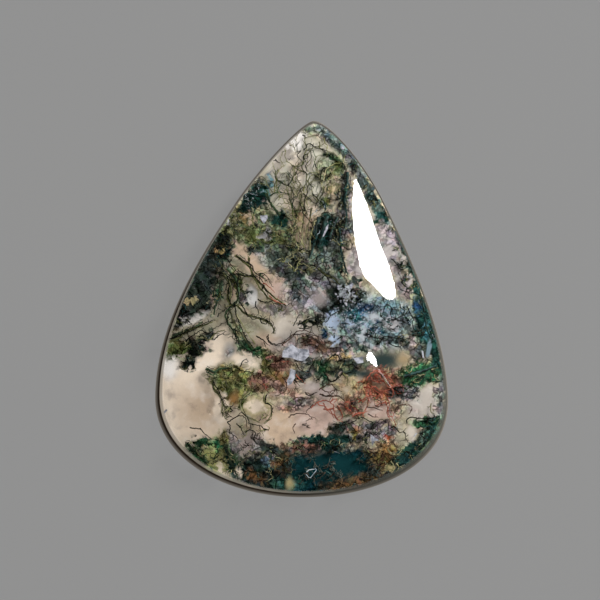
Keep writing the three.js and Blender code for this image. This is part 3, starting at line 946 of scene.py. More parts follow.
# Strands: a soft green sheath with dark threads along its sides. Sheath, its width, the points it passes.
STRANDS = [
    ("olive", 0.16, [(-1.7, 15.4), (-1.3, 14.9), (-1.2, 14.3), (-1.4, 13.6), (-1.5, 12.9), (-1.3, 12.2),
                     (-1.0, 11.7)]),
    ("olive", 0.16, [(-0.9, 13.6), (-0.3, 13.1), (0.3, 12.9), (0.5, 12.6), (0.4, 12.2), (0.7, 11.8),
                     (1.1, 11.4)]),
    ("olive", 0.16, [(-2.5, 12.5), (-2.3, 12.1), (-1.8, 11.8), (-1.1, 11.5), (-0.9, 11.0), (-0.5, 10.6)]),
    ("green", 0.16, [(-3.0, 10.6), (-2.6, 10.9), (-1.9, 10.95), (-1.2, 10.8)]),
    ("green", 0.20, [(-3.4, 10.9), (-3.2, 10.4), (-2.9, 9.8), (-2.3, 9.0)]),
    ("olive", 0.14, [(-2.3, 14.8), (-2.1, 14.3), (-1.8, 13.9), (-1.7, 13.3)]),
    ("straw", 0.14, [(-0.6, 12.9), (-0.5, 12.3), (-0.2, 11.9), (-0.3, 11.3)]),
    ("olive", 0.14, [(0.1, 13.9), (0.0, 13.4), (0.2, 13.0)]),
    ("straw", 0.16, [(-0.2, 10.9), (-0.1, 10.2), (-0.4, 9.4), (-0.4, 8.7)]),
    ("olive", 0.16, [(2.0, 11.6), (1.9, 10.9), (1.5, 10.2), (1.2, 9.5)]),
    ("green", 0.26, [(-7.0, 3.7), (-6.1, 2.4), (-6.1, 0.8), (-7.2, -0.5), (-6.9, -1.5), (-6.3, -2.4),
                     (-5.5, -3.6), (-4.6, -4.3)]),
    ("olive", 0.24, [(-7.4, 3.3), (-6.7, 1.9), (-6.8, 0.6), (-6.7, -0.6), (-6.2, -1.6), (-5.6, -2.7),
                     (-4.9, -3.6)]),
    ("green", 0.30, [(-7.5, 2.6), (-7.7, 1.9), (-7.8, 1.0), (-8.2, 0.0), (-8.3, -0.7)]),
    ("olive", 0.24, [(-6.9, 1.9), (-7.0, 0.8), (-6.5, 0.2), (-6.1, 0.2), (-5.4, -0.5), (-4.0, -1.0),
                     (-3.3, -1.3), (-2.7, -1.9), (-2.7, -2.4)]),
    ("olive", 0.26, [(-6.3, 5.0), (-5.5, 4.4), (-4.8, 3.7), (-4.6, 2.9), (-3.8, 2.2), (-3.3, 1.6),
                     (-2.3, 0.8), (-1.5, 0.2)]),
    ("olive", 0.24, [(-6.1, 3.3), (-5.2, 3.0), (-4.6, 3.0), (-4.1, 2.1), (-3.6, 1.5), (-3.2, 1.0),
                     (-2.1, 0.4), (-1.9, 0.0), (-2.3, -0.2)]),
    ("straw", 0.20, [(-5.0, 4.8), (-5.0, 4.0), (-4.6, 3.5)]),
    ("teal", 0.34, [(-8.6, 6.8), (-7.9, 5.6), (-7.4, 4.6), (-7.2, 3.6)]),
    ("olive", 0.26, [(-12.6, -3.2), (-11.6, -2.8), (-10.7, -2.1), (-9.5, -1.7), (-8.4, -1.3)]),
    ("green", 0.30, [(-12.2, -2.7), (-11.2, -2.3), (-10.2, -1.9), (-9.4, -1.3)]),
    ("straw", 0.22, [(-9.9, -2.8), (-9.2, -2.8), (-8.8, -3.0), (-8.0, -2.3), (-7.3, -2.1)]),
    ("green", 0.30, [(-9.1, -5.7), (-8.3, -6.0), (-7.6, -5.7), (-6.6, -5.8)]),
    ("olive", 0.26, [(-8.4, -6.8), (-8.3, -7.6), (-7.7, -8.4), (-7.3, -9.4), (-7.1, -10.4)]),
    ("straw", 0.22, [(-3.5, -8.1), (-3.6, -8.8), (-3.0, -9.1), (-2.9, -9.8), (-3.1, -10.4), (-3.6, -10.9)]),
    ("straw", 0.22, [(-4.9, -7.9), (-5.6, -8.5), (-5.8, -9.3), (-5.4, -10.1), (-4.7, -10.5), (-4.0, -10.8)]),
    ("straw", 0.20, [(-7.9, -8.2), (-7.5, -9.0), (-7.6, -9.8), (-7.1, -10.6)]),
    ("teal", 0.40, [(1.6, 8.6), (1.3, 7.6), (1.2, 6.6), (1.0, 5.6), (0.7, 4.7)]),
    ("teal", 0.44, [(2.4, 8.7), (2.1, 7.9), (1.9, 6.9), (1.6, 5.8)]),
    ("teal", 0.34, [(3.3, 8.6), (2.9, 7.6), (2.6, 6.7)]),
    ("teal", 0.30, [(3.5, 7.6), (3.6, 6.6), (3.7, 5.4), (4.0, 4.2), (4.3, 3.2)]),
    ("teal", 0.34, [(4.3, 12.9), (4.2, 11.6), (4.0, 10.2), (4.2, 8.8), (4.0, 7.6)]),
    ("straw", 0.2, [(-0.5, 9.4), (-0.6, 8.3), (-0.4, 7.2), (-0.3, 6.2)]),
    ("straw", 0.2, [(0.9, 9.5), (0.7, 8.3), (0.4, 7.2), (0.3, 6.1)]),
    ("straw", 0.16, [(0.2, 9.6), (0.1, 8.4), (0.0, 7.3), (0.0, 6.3)]),
    ("green", 0.26, [(-2.1, 8.8), (-2.7, 9.5), (-3.1, 10.3), (-3.3, 11.2)]),
    ("green", 0.24, [(1.9, 14.6), (2.5, 14.6), (3.1, 14.2), (3.7, 13.9), (3.9, 13.2)]),
    ("teal", 0.34, [(11.2, 1.2), (11.5, -0.2), (11.7, -1.6), (12.1, -2.8)]),
    ("teal", 0.34, [(9.6, -6.4), (10.6, -6.1), (11.6, -5.8), (12.6, -5.4)]),
    ("green", 0.34, [(-10.9, -12.8), (-10.3, -13.4), (-9.6, -14.0), (-8.8, -14.7)]),
    ("green", 0.34, [(-7.0, -12.9), (-6.9, -13.9), (-6.6, -14.9), (-6.1, -15.9)]),
    ("green", 0.34, [(11.2, -13.6), (11.9, -12.8), (12.4, -11.8), (13.0, -10.9)]),
    ("olive", 0.26, [(1.5, 3.8), (2.2, 3.2), (3.0, 2.8), (3.6, 2.2)]),
    ("umber", 0.18, [(0.3, -2.6), (1.0, -2.8), (1.6, -3.2), (2.3, -3.8)]),
]
# The strongest single stems, one by one: colour, then the points they pass
STEMS = [
    # Tip
    ("night", [(-1.35, 15.65), (-0.9, 15.3), (-0.6, 15.1), (-0.1, 15.0)]),
    ("night", [(0.1, 15.1), (0.35, 15.3), (0.55, 15.7), (1.0, 15.5), (1.5, 15.2), (2.1, 15.05),
               (2.6, 14.9), (3.0, 14.6)]),
    ("night", [(0.0, 16.6), (0.2, 16.4), (0.45, 16.2)]),
    ("night", [(-2.5, 14.2), (-3.0, 13.8), (-3.2, 13.3), (-3.15, 12.8)]),
    ("night", [(-2.55, 14.15), (-2.1, 13.8)]),
    ("night", [(-0.1, 15.0), (-0.4, 14.6), (-0.2, 14.2), (0.1, 13.9)]),
    ("night", [(0.1, 14.3), (0.2, 14.6), (0.55, 14.65), (0.4, 14.25), (0.15, 14.2)]),
    ("straw", [(2.0, 16.2), (2.1, 15.8), (2.4, 15.4), (2.3, 15.0), (2.7, 14.8)]),
    ("olive", [(1.6, 15.9), (1.7, 15.5), (1.6, 15.1)]),
    ("night", [(3.5, 13.9), (3.9, 13.7), (4.05, 13.3), (3.8, 13.0)]),
    ("night", [(1.2, 13.8), (1.25, 13.5), (1.4, 13.3)]),
    ("night", [(3.6, 16.0), (4.1, 15.3), (4.6, 14.4), (5.2, 13.4)]),
    # The fan
    ("night", [(2.4, 13.4), (1.9, 13.2), (1.8, 12.7), (1.75, 12.2), (1.6, 11.8)]),
    ("night", [(1.15, 12.6), (1.5, 12.4), (1.75, 12.2)]),
    ("night", [(2.7, 12.8), (2.4, 12.4), (1.8, 12.1)]),
    ("night", [(2.3, 10.5), (2.9, 10.3), (3.4, 10.35)]),
    ("night", [(1.0, 10.9), (1.4, 10.4), (1.8, 10.1)]),
    ("night", [(0.1, 10.9), (0.6, 10.5), (1.1, 10.0), (1.5, 9.9)]),
    ("night", [(-0.3, 10.2), (0.1, 9.1), (0.7, 8.3), (1.1, 7.6)]),
    ("night", [(1.8, 9.0), (2.3, 9.1), (2.9, 8.9), (3.3, 9.1)]),
    ("night", [(0.2, 9.2), (0.2, 10.2), (0.5, 11.2), (0.3, 12.1)]),
    ("night", [(-0.5, 8.7), (-0.9, 9.6), (-0.8, 10.4), (-0.9, 11.0)]),
    # The strands over the peach band
    ("night", [(-6.2, 5.0), (-5.4, 4.4), (-4.7, 4.0), (-4.5, 3.4), (-4.0, 3.0), (-3.6, 2.1), (-3.1, 1.4)]),
    ("night", [(-6.9, 3.1), (-6.2, 3.2), (-5.3, 3.05), (-4.6, 3.0), (-4.1, 2.6), (-3.6, 2.0), (-3.2, 1.2)]),
    ("night", [(-8.0, 5.1), (-7.2, 4.8), (-6.8, 4.2), (-6.3, 3.6), (-5.9, 3.1)]),
    ("night", [(-8.0, 3.4), (-7.3, 3.2), (-6.7, 2.7), (-6.2, 2.3), (-5.9, 2.0)]),
    ("rust", [(-3.7, 2.4), (-3.1, 2.0), (-2.6, 1.5)]),
    ("rust", [(-3.1, 1.2), (-2.6, 0.7), (-2.0, 0.5), (-1.5, 0.35)]),
    ("night", [(-4.2, 0.9), (-4.0, 0.7), (-3.5, 0.6), (-3.0, 0.6), (-2.4, 0.4)]),
    ("night", [(-4.3, 0.7), (-4.4, 0.2), (-4.1, -0.4), (-4.3, -0.8)]),
    # The bundle on the left
    ("night", [(-7.1, 3.0), (-6.9, 2.2), (-7.0, 1.2), (-6.8, 0.3), (-7.1, -1.3), (-6.5, -2.2), (-5.9, -3.7)]),
    ("night", [(-6.4, 0.6), (-6.3, -0.4), (-6.0, -1.2), (-5.6, -2.2), (-5.2, -3.0), (-4.3, -4.1)]),
    ("night", [(-6.0, 3.0), (-6.1, 2.0), (-6.0, 1.0), (-6.3, 0.2), (-6.2, -0.8)]),
    ("night", [(-5.9, 0.6), (-5.5, 0.0), (-5.2, -0.6), (-4.6, -1.0), (-4.0, -0.9), (-3.0, -1.4),
               (-2.6, -2.4)]),
    ("straw", [(-6.2, -0.6), (-5.6, -1.6), (-5.0, -2.6), (-4.4, -3.4)]),
    ("night", [(-4.0, -1.0), (-3.8, -1.4), (-3.4, -1.5), (-3.3, -1.2), (-3.7, -1.0)]),
    ("night", [(-4.2, -2.7), (-3.8, -2.9), (-3.4, -3.3), (-3.0, -3.6)]),
    ("night", [(-3.2, -2.5), (-3.3, -2.9), (-2.6, -3.4), (-2.0, -3.3), (-1.6, -3.0), (-1.0, -2.6)]),
    ("night", [(-8.0, -0.8), (-7.6, -0.3), (-7.3, -0.1)]),
    ("night", [(-5.9, -5.5), (-5.6, -5.0), (-5.3, -4.8), (-5.1, -5.0), (-5.4, -5.1)]),
    ("night", [(-6.2, -5.6), (-5.7, -5.9), (-5.0, -6.0), (-4.6, -6.2)]),
    # The mossy branch
    ("night", [(-12.8, -3.0), (-12.0, -2.7), (-11.2, -2.4), (-10.4, -2.1), (-9.6, -1.6), (-8.2, -1.1)]),
    ("night", [(-11.0, -3.1), (-10.3, -2.6), (-9.6, -2.1), (-8.8, -2.4), (-8.3, -1.9), (-7.6, -1.6)]),
    ("night", [(-8.4, -3.0), (-7.9, -2.6), (-7.2, -2.2)]),
    ("night", [(-9.8, -2.8), (-9.5, -2.6), (-9.0, -3.0)]),
    # Round the windows at the lower left
    ("green", [(-9.1, -6.0), (-8.4, -6.3), (-7.9, -5.8), (-7.2, -5.7)]),
    ("night", [(-8.4, -6.8), (-8.2, -7.4), (-7.8, -8.0), (-7.6, -8.7), (-7.3, -8.4)]),
    ("straw", [(-3.5, -8.1), (-3.6, -8.8), (-3.1, -9.0), (-2.9, -9.7), (-3.0, -10.3), (-3.6, -10.9)]),
    ("night", [(-3.4, -8.2), (-3.45, -8.9), (-3.0, -9.1), (-2.85, -9.8), (-2.95, -10.3)]),
    ("night", [(-6.9, -9.3), (-6.6, -9.7), (-7.1, -9.9), (-6.7, -10.3)]),
    ("night", [(-7.1, -10.8), (-6.6, -10.5), (-6.1, -10.2), (-5.6, -10.2), (-5.3, -10.6), (-5.2, -11.2)]),
    ("night", [(-5.8, -9.8), (-5.2, -10.3), (-4.9, -10.9), (-4.0, -11.1), (-3.6, -11.4), (-3.5, -11.7)]),
    ("night", [(-7.1, -10.8), (-6.8, -11.2), (-6.9, -11.8), (-6.3, -12.1), (-6.0, -12.6)]),
    ("night", [(-6.2, -10.9), (-5.8, -11.3), (-5.5, -12.0)]),
    ("night", [(-5.4, -11.7), (-4.9, -11.5), (-4.4, -11.8), (-4.6, -12.3), (-4.1, -12.9), (-3.8, -13.1)]),
    ("night", [(-10.65, -11.3), (-10.2, -11.4), (-9.6, -11.45), (-9.2, -11.9), (-8.7, -12.3), (-8.2, -12.4)]),
    # Right of the spray
    ("straw", [(1.3, 8.4), (1.0, 7.6), (0.75, 6.5), (0.75, 5.5)]),
    ("night", [(0.7, 4.1), (1.2, 4.0), (1.8, 3.4), (2.3, 3.0), (2.9, 2.8)]),
    ("night", [(3.8, 6.1), (4.3, 5.6), (4.7, 5.8), (4.8, 6.3)]),
    ("night", [(1.3, 4.4), (1.5, 5.0), (2.1, 4.9), (2.0, 4.4), (1.6, 4.2)]),
    ("night", [(8.4, 4.7), (8.9, 4.2), (9.2, 3.7), (9.0, 3.2)]),
    ("night", [(9.0, 3.8), (9.5, 3.7), (9.9, 3.9)]),
    # Centre right
    ("night", [(7.1, 0.3), (7.5, -0.1), (7.4, -0.6), (7.9, -0.9)]),
    ("night", [(8.1, 0.4), (8.5, -0.1), (8.3, -0.6), (8.7, -0.9), (9.3, -0.8)]),
    ("night", [(9.2, 0.5), (9.4, 0.0), (9.8, -0.3), (9.7, -0.8), (10.2, -1.2)]),
    ("night", [(9.9, 0.2), (10.2, -0.4), (10.5, -0.9), (10.4, -1.6), (10.7, -2.2)]),
    ("teal", [(7.2, -1.2), (7.6, -1.4), (7.5, -1.8), (8.0, -1.9)]),
    ("teal", [(4.5, -0.1), (4.9, -0.7), (4.7, -1.2), (5.3, -1.5), (5.8, -1.3)]),
    ("night", [(3.6, -1.5), (4.1, -1.4), (4.5, -1.5)]),
    ("night", [(4.9, -2.1), (5.3, -2.15), (5.7, -2.0)]),
    ("night", [(3.3, -2.9), (3.8, -2.6), (4.4, -2.7), (4.7, -3.1)]),
    ("night", [(6.3, -2.0), (6.6, -2.3), (6.9, -2.3), (7.0, -2.7), (7.6, -2.9)]),
    ("night", [(9.3, 2.9), (9.5, 2.3), (9.9, 1.9), (9.7, 1.3), (10.1, 0.9)]),
    ("night", [(8.9, 4.4), (9.3, 4.2), (9.6, 4.5), (10.0, 4.3)]),
    ("night", [(9.0, 2.2), (9.5, 1.7), (10.1, 1.6), (10.5, 2.0)]),
    ("night", [(8.0, -1.2), (8.6, -1.0), (9.3, -1.2), (9.9, -1.4), (10.2, -1.6)]),
    ("night", [(8.1, -3.2), (8.6, -3.5), (9.4, -3.6), (9.9, -3.4)]),
    ("night", [(6.5, -2.6), (7.2, -2.8), (8.0, -2.6), (8.9, -2.8), (9.6, -2.7)]),
    ("night", [(2.0, -5.9), (2.8, -6.9), (3.6, -6.4), (4.4, -6.1)]),
    ("night", [(2.9, -4.4), (3.3, -4.4), (3.7, -4.9), (4.2, -5.0)]),
    ("olive", [(3.9, -6.1), (4.3, -6.6), (4.2, -7.2)]),
    ("night", [(-0.3, -1.9), (0.4, -1.9), (1.2, -1.5), (2.0, -1.6)]),
    ("umber", [(-1.9, -3.4), (-1.2, -2.9), (-0.7, -2.5), (0.3, -2.4), (1.2, -2.6), (2.0, -3.2)]),
    ("umber", [(-0.2, -3.3), (0.6, -2.9), (1.5, -3.2), (2.2, -3.8)]),
    ("umber", [(-1.2, -2.7), (-0.3, -2.1), (0.6, -2.2), (1.8, -2.8)]),
    ("umber", [(0.2, -3.6), (1.0, -3.4), (1.7, -3.9), (2.0, -4.6)]),
    ("umber", [(-0.6, -5.2), (-0.1, -5.9), (0.6, -6.1)]),
    ("night", [(-0.5, -1.6), (0.3, -1.1), (1.2, -0.9), (2.2, -1.3), (2.8, -0.6), (4.0, 0.0)]),
    ("night", [(-0.85, -1.65), (-0.5, -0.95), (-0.3, -0.55)]),
    ("night", [(-4.3, -2.6), (-3.7, -3.0), (-3.4, -3.8)]),
    ("night", [(-3.2, -2.5), (-3.15, -3.2), (-2.6, -3.5), (-2.1, -3.5)]),
    ("night", [(2.3, -5.0), (2.9, -4.4), (3.3, -4.4), (3.6, -4.9)]),
    ("night", [(1.2, -6.9), (2.0, -6.4), (2.6, -6.9), (3.1, -6.7), (3.9, -6.1), (5.2, -6.1)]),
    ("night", [(1.6, -8.1), (2.3, -8.3), (3.2, -8.2), (3.9, -8.6)]),
    ("umber", [(1.7, -7.5), (2.4, -7.9), (3.1, -7.7), (3.4, -8.1)]),
    ("umber", [(0.2, -7.9), (0.8, -8.1), (1.4, -7.9)]),
    ("umber", [(-0.9, -8.6), (-0.2, -8.4), (0.6, -8.5)]),
    # Red threads
    ("rust", [(1.5, -8.9), (1.7, -9.15), (2.1, -9.2), (2.4, -9.5), (2.9, -9.4), (3.2, -9.8)]),
    ("rust", [(2.6, -8.9), (2.9, -8.6), (3.3, -8.6), (3.0, -8.9)]),
    ("rust", [(2.0, -9.5), (2.6, -9.6), (2.9, -10.0), (3.2, -10.3), (3.4, -10.7)]),
    ("rust", [(3.3, -9.2), (3.6, -9.6), (3.8, -10.2), (3.5, -10.6)]),
    ("rust", [(4.7, -10.2), (5.1, -10.0), (5.5, -9.9), (6.0, -9.75)]),
    ("rust", [(4.9, -10.1), (5.3, -9.85), (5.8, -9.9)]),
    ("rust", [(5.3, -8.8), (5.9, -8.5), (6.1, -8.0), (6.0, -7.5), (6.3, -7.0)]),
    ("rust", [(7.9, -8.7), (8.05, -9.4), (8.1, -10.1), (8.5, -10.7)]),
    ("rust", [(6.4, -6.5), (6.9, -6.9), (7.6, -6.8), (8.0, -7.3), (8.6, -7.6)]),
    ("rust", [(5.8, -7.4), (6.4, -7.5), (6.9, -7.4), (7.5, -7.8), (8.2, -7.7)]),
    ("rust", [(7.0, -5.8), (7.6, -6.0), (8.3, -6.6), (8.8, -7.2), (9.3, -7.4)]),
    ("umber", [(-1.3, -10.3), (-0.9, -10.0), (-0.2, -9.9), (0.6, -10.1), (1.0, -10.5)]),
    ("umber", [(1.0, -9.1), (0.6, -9.5), (0.3, -10.0)]),
    ("umber", [(-0.6, -10.9), (-0.9, -11.3), (-0.7, -11.8)]),
    ("umber", [(-1.9, -6.5), (-1.55, -6.9), (-1.5, -7.6), (-1.9, -8.1), (-2.6, -8.3)]),
    ("umber", [(1.7, -8.0), (2.3, -8.3), (2.9, -8.3), (3.5, -8.3), (4.0, -8.8)]),
    ("umber", [(1.6, -7.7), (2.2, -7.3), (2.8, -7.2), (3.3, -7.7), (3.8, -7.9)]),
    ("umber", [(6.2, -9.9), (6.7, -10.2), (7.2, -10.3)]),
    ("rust", [(-0.6, -6.2), (-0.3, -6.6), (0.3, -7.1)]),
    ("night", [(-1.0, -6.7), (-0.4, -6.9), (0.1, -7.0)]),
    ("night", [(0.3, -8.1), (0.8, -8.2), (1.4, -7.9)]),
    ("rust", [(6.0, -6.8), (6.5, -6.1), (7.0, -5.9), (7.8, -6.4), (8.6, -7.4), (9.2, -7.1), (9.6, -7.9)]),
    ("rust", [(6.1, -7.2), (6.4, -7.9), (6.2, -8.8), (6.0, -9.6), (5.2, -10.2)]),
    ("rust", [(6.5, -7.3), (7.0, -7.9), (7.8, -8.1), (8.2, -8.9), (8.1, -9.8), (8.6, -10.4), (8.9, -11.0)]),
    ("rust", [(0.8, -9.4), (1.4, -8.9), (2.2, -8.7), (2.9, -9.1), (3.0, -9.8), (3.3, -10.4), (3.8, -10.7)]),
    ("rust", [(2.0, -8.9), (2.3, -9.6), (2.9, -10.0)]),
    # Lower right
    ("night", [(9.9, -10.9), (9.9, -10.5), (10.4, -10.3), (11.2, -10.4), (12.0, -10.4), (12.8, -10.2)]),
    ("night", [(8.3, -11.3), (8.8, -11.2), (9.2, -11.7), (9.7, -11.7), (9.8, -12.2), (10.0, -12.6)]),
    ("night", [(11.1, -11.0), (11.4, -11.3), (11.4, -12.0), (11.0, -12.5)]),
    ("night", [(9.2, -7.3), (9.9, -7.6), (10.3, -7.3), (10.9, -7.6)]),
    ("night", [(9.9, -8.2), (10.2, -8.5), (10.4, -8.2), (10.6, -8.5), (10.8, -8.2), (11.1, -8.4)]),
    ("night", [(8.6, -7.5), (9.2, -7.9), (9.9, -7.9), (10.4, -8.0)]),
    ("umber", [(8.7, -9.9), (9.1, -9.2), (10.1, -9.1), (10.4, -9.5), (10.1, -10.0)]),
    ("night", [(6.1, -9.3), (6.8, -9.4), (7.6, -9.6)]),
    ("night", [(3.0, -10.9), (3.8, -11.0), (4.8, -10.7), (5.6, -10.3), (6.3, -10.6), (7.0, -10.8),
               (7.4, -10.5), (8.0, -10.8)]),
    ("straw", [(7.9, -14.5), (8.1, -15.0), (7.9, -15.4)]),
    ("straw", [(8.4, -14.4), (8.7, -14.9), (8.5, -15.5)]),
    ("straw", [(8.9, -14.7), (9.2, -15.1), (8.9, -15.5)]),
    ("straw", [(8.1, -13.2), (8.4, -13.7), (9.0, -13.8), (9.4, -13.4)]),
    ("olive", [(12.2, -9.0), (12.2, -9.8), (12.5, -10.0)]),
    ("pale", [(0.4, -15.5), (0.7, -15.3), (1.3, -15.2), (0.9, -15.9), (0.6, -16.0), (0.35, -15.7)]),
]
THREAD_RADIUS = 0.045
GIRTH_SPREAD = (0.7, 1.3)
STEM_GIRTH = 1.4  # these three as a share of a thread's
SHOOT_GIRTH = 0.75
TWIG_GIRTH = 0.85
ROOT_END = 1.15  # a thread's thickness where it starts and where it ends
FREE_END = 0.55
LENGTH_SPREAD = (0.5, 1.3)
TWIG_LENGTHS = (0.25, 0.8)
STEMS_APART = 28  # how far the stems of one root stray from each other, in degrees
SHOOT_ANGLE = (0.8, 0.25)  # mean and spread of the angle to the parent, in radians
TWIG_ANGLE = (0.8, 0.3)
SHOOT_STEPS = 6
SHOOTS_PER_MM = 0.9
BORDER_SHOOTS_PER_MM = 0.7
STEM_SHAKE = 0.03  # how uneven a line is, in millimetres
STRAND_SHAKE = 0.02
BORDER_SHAKE = 0.025
BORDER_SWAY = 0.03
WIDE_STRAND = 0.28
# Wide strands have a dark thread along both sides, the others along one, at these shares of their width
BOTH_SIDES = (-0.5, 0.5)
ONE_SIDE = (0.3,)
# Depths, from 0 at the skin to 1 at the cloud
ROOT_DEPTHS = (0.06, 0.95)
THREAD_DEPTHS = (0.05, 0.97)
DEPTH_SPREAD = 0.2
STEM_DEPTHS = (0.12, 0.35)
STRAND_DEPTHS = (0.25, 0.5)
SHEATH_DEEPER = 0.12
LEAST_COVER = 0.1  # the clear stone over a thread's middle, and over its side, in millimetres
SIDE_COVER = 0.02
rng = np.random.default_rng(41)


def grow(starts, headings, reaches, depths, habit, steps):
    """Threads from their starts: paths in plan, an array of threads by steps by 2, headings and depths."""
    shape = (len(starts), steps)
    course = headings[:, None] + np.cumsum(rng.normal(0, HABITS[habit].wander, shape), axis=1)
    angle = course + rng.normal(0, HABITS[habit].crinkle, shape)
    stride = (reaches / steps)[:, None, None]
    moves = stride * np.stack([np.cos(angle), np.sin(angle)], axis=2)
    paths = np.concatenate([starts[:, None], starts[:, None] + np.cumsum(moves, axis=1)], axis=1)
    drift = np.cumsum(rng.normal(0, DEPTH_SPREAD / math.sqrt(steps), (len(starts), steps + 1)), axis=1)
    return paths, course, np.clip(depths[:, None] + drift, *THREAD_DEPTHS)


def shoots(paths, course, depths, reaches, habit):
    """Side shoots of threads, each from a step of its parent and at an angle to it."""
    parent = np.repeat(np.arange(len(paths)), HABITS[habit].shoots)
    step = rng.integers(1, paths.shape[1] - 1, len(parent))
    side = rng.choice([-1, 1], len(parent))
    headings = course[parent, step] + side * rng.normal(*SHOOT_ANGLE, len(parent))
    lengths = reaches[parent] * HABITS[habit].shoot_share * rng.uniform(*LENGTH_SPREAD, len(parent))
    return grow(paths[parent, step], headings, lengths, depths[parent, step], habit, SHOOT_STEPS)


def scattered(middle, half, turn, count):
    """Places spread evenly over a turned oval."""
    out = np.sqrt(rng.uniform(0, 1, count))
    angle = rng.uniform(0, 2 * math.pi, count)
    places = np.column_stack([out * np.cos(angle) * half[0], out * np.sin(angle) * half[1]])
    cos, sin = math.cos(math.radians(turn)), math.sin(math.radians(turn))
    return places @ np.array([[cos, sin], [-sin, cos]]) + middle


def smooth(points, spacing=0.13):
    """A curve through the points, as closely spaced places."""
    points = np.array(points, float)
    ends = np.vstack([2 * points[0] - points[1], points, 2 * points[-1] - points[-2]])
    places = []
    for before, start, end, after in zip(ends, ends[1:], ends[2:], ends[3:]):
        steps = max(2, round(float(np.linalg.norm(end - start)) / spacing))
        for t in np.arange(steps) / steps:
            leave, arrive = (end - before) / 2, (after - start) / 2
            places.append(
                (2 * t**3 - 3 * t**2 + 1) * start
                + (t**3 - 2 * t**2 + t) * leave
                + (3 * t**2 - 2 * t**3) * end
                + (t**3 - t**2) * arrive
            )
    return np.array([*places, points[-1]])


threads = {name: [] for name in THREAD_COLOURS}


def add_threads(blend, paths, depths, girth):
    """Shares threads out over the colours of a blend."""
    names = list(BLENDS[blend])
    share = np.array(list(BLENDS[blend].values()))
    family = rng.choice(len(names), len(paths), p=share / share.sum())
    for i in range(len(paths)):
        threads[names[family[i]]].append((paths[i], depths[i], girth * rng.uniform(*GIRTH_SPREAD)))


def add_growth(habit, blend, starts, way, stray, length, depth):
    """Stems from each of the starts, with their side shoots."""
    stems = HABITS[habit].stems
    roots = np.repeat(starts, stems, axis=0)
    lean = np.repeat(rng.uniform(-stray, stray, len(starts)), stems)
    headings = np.radians(way + lean + rng.normal(0, STEMS_APART if stems > 1 else 0, len(roots)))
    reaches = length * rng.uniform(*LENGTH_SPREAD, len(roots))
    depths = np.clip(np.repeat(rng.normal(depth, DEPTH_SPREAD, len(starts)), stems), *ROOT_DEPTHS)
    paths, course, deep = grow(roots, headings, reaches, depths, habit, HABITS[habit].steps)
    add_threads(blend, paths, deep, 1.0)
    twigs, _, twig_deep = shoots(paths, course, deep, reaches, habit)
    add_threads(blend, twigs, twig_deep, SHOOT_GIRTH)


for habit, blend, middle, half, turn, way, stray, length, depth in THREAD_BEDS:
    count = round(HABITS[habit].roots * math.pi * half[0] * half[1])
    add_growth(habit, blend, scattered(middle, half, turn, count), way, stray, length, depth)
for blend, root, half, way, fan, length, count, depth in SPRAYS:
    add_growth("spray", blend, scattered(root, half, 0, count), way, fan, length, depth)


def add_twigs(name, path, depth, per_mm):
    """Short side shoots along a path."""
    spacing = np.linalg.norm(np.diff(path, axis=0), axis=1)
    count = rng.poisson(spacing.sum() * per_mm)
    step = rng.integers(0, len(path) - 1, count)
    along = path[step + 1] - path[step]
    side = rng.choice([-1, 1], count) * rng.normal(*TWIG_ANGLE, count)
    headings = np.arctan2(along[:, 1], along[:, 0]) + side
    reaches = rng.uniform(*TWIG_LENGTHS, count)
    twigs, _, deep = grow(path[step], headings, reaches, np.full(count, depth), "tuft", SHOOT_STEPS)
    threads[name] += [(twigs[i], deep[i], TWIG_GIRTH) for i in range(count)]


for name, points in STEMS:
    path = smooth(points)
    path += rng.normal(0, STEM_SHAKE, path.shape)
    depth = rng.uniform(*STEM_DEPTHS)
    threads[name].append((path, np.full(len(path), depth), STEM_GIRTH))
    if name != "pale":
        add_twigs(name, path, depth, SHOOTS_PER_MM)
for name, width, points in STRANDS:
    path = smooth(points)
    path += rng.normal(0, STRAND_SHAKE, path.shape)
    depth = rng.uniform(*STRAND_DEPTHS)
    threads[name].append((path, np.full(len(path), depth + SHEATH_DEEPER), width / 2 / THREAD_RADIUS))
    along = np.gradient(path, axis=0)
    across = np.column_stack([-along[:, 1], along[:, 0]]) / np.linalg.norm(along, axis=1)[:, None]
    for side in BOTH_SIDES if width > WIDE_STRAND else ONE_SIDE:
        sway = np.cumsum(rng.normal(0, BORDER_SWAY, len(path)))
        border = path + across * (side * width + sway[:, None] - sway.mean())
        border += rng.normal(0, BORDER_SHAKE, path.shape)
        threads["night"].append((border, np.full(len(path), depth), SHOOT_GIRTH))
        add_twigs("night", border, depth, BORDER_SHOOTS_PER_MM)


def thread_lines(name, rows):
    """A mesh of bare edges that follow the threads, with their thickness and depth stored on their points."""
    points, edges, girths, sunk = [], [], [], []
    for path, deep, girth in rows:
        top, bottom = height_at(skin, path), height_at(cloud_top, path)
        inside = np.isfinite(top) & np.isfinite(bottom)
        length = len(path) if inside.all() else int(np.argmin(inside))
        if length < 3:
            continue
        cover = max(LEAST_COVER, girth * THREAD_RADIUS + SIDE_COVER)
        z = top - cover - deep * (top - bottom - cover)
        first = len(points)
        points += np.column_stack([as_modelled(path, z), z])[:length].tolist()
        edges += [(first + i, first + i + 1) for i in range(length - 1)]
        girths += (girth * np.linspace(ROOT_END, FREE_END, length)).tolist()
        sunk += deep[:length].tolist()
    mesh = bpy.data.meshes.new(name)
    mesh.from_pydata((np.array(points) * MM).tolist(), edges, [])
    mesh.attributes.new("thickness", "FLOAT", "POINT").data.foreach_set("value", girths)
    mesh.attributes.new("depth", "FLOAT", "POINT").data.foreach_set("value", sunk)
    piece = bpy.data.objects.new(name, mesh)
    bpy.context.scene.collection.objects.link(piece)
    return piece


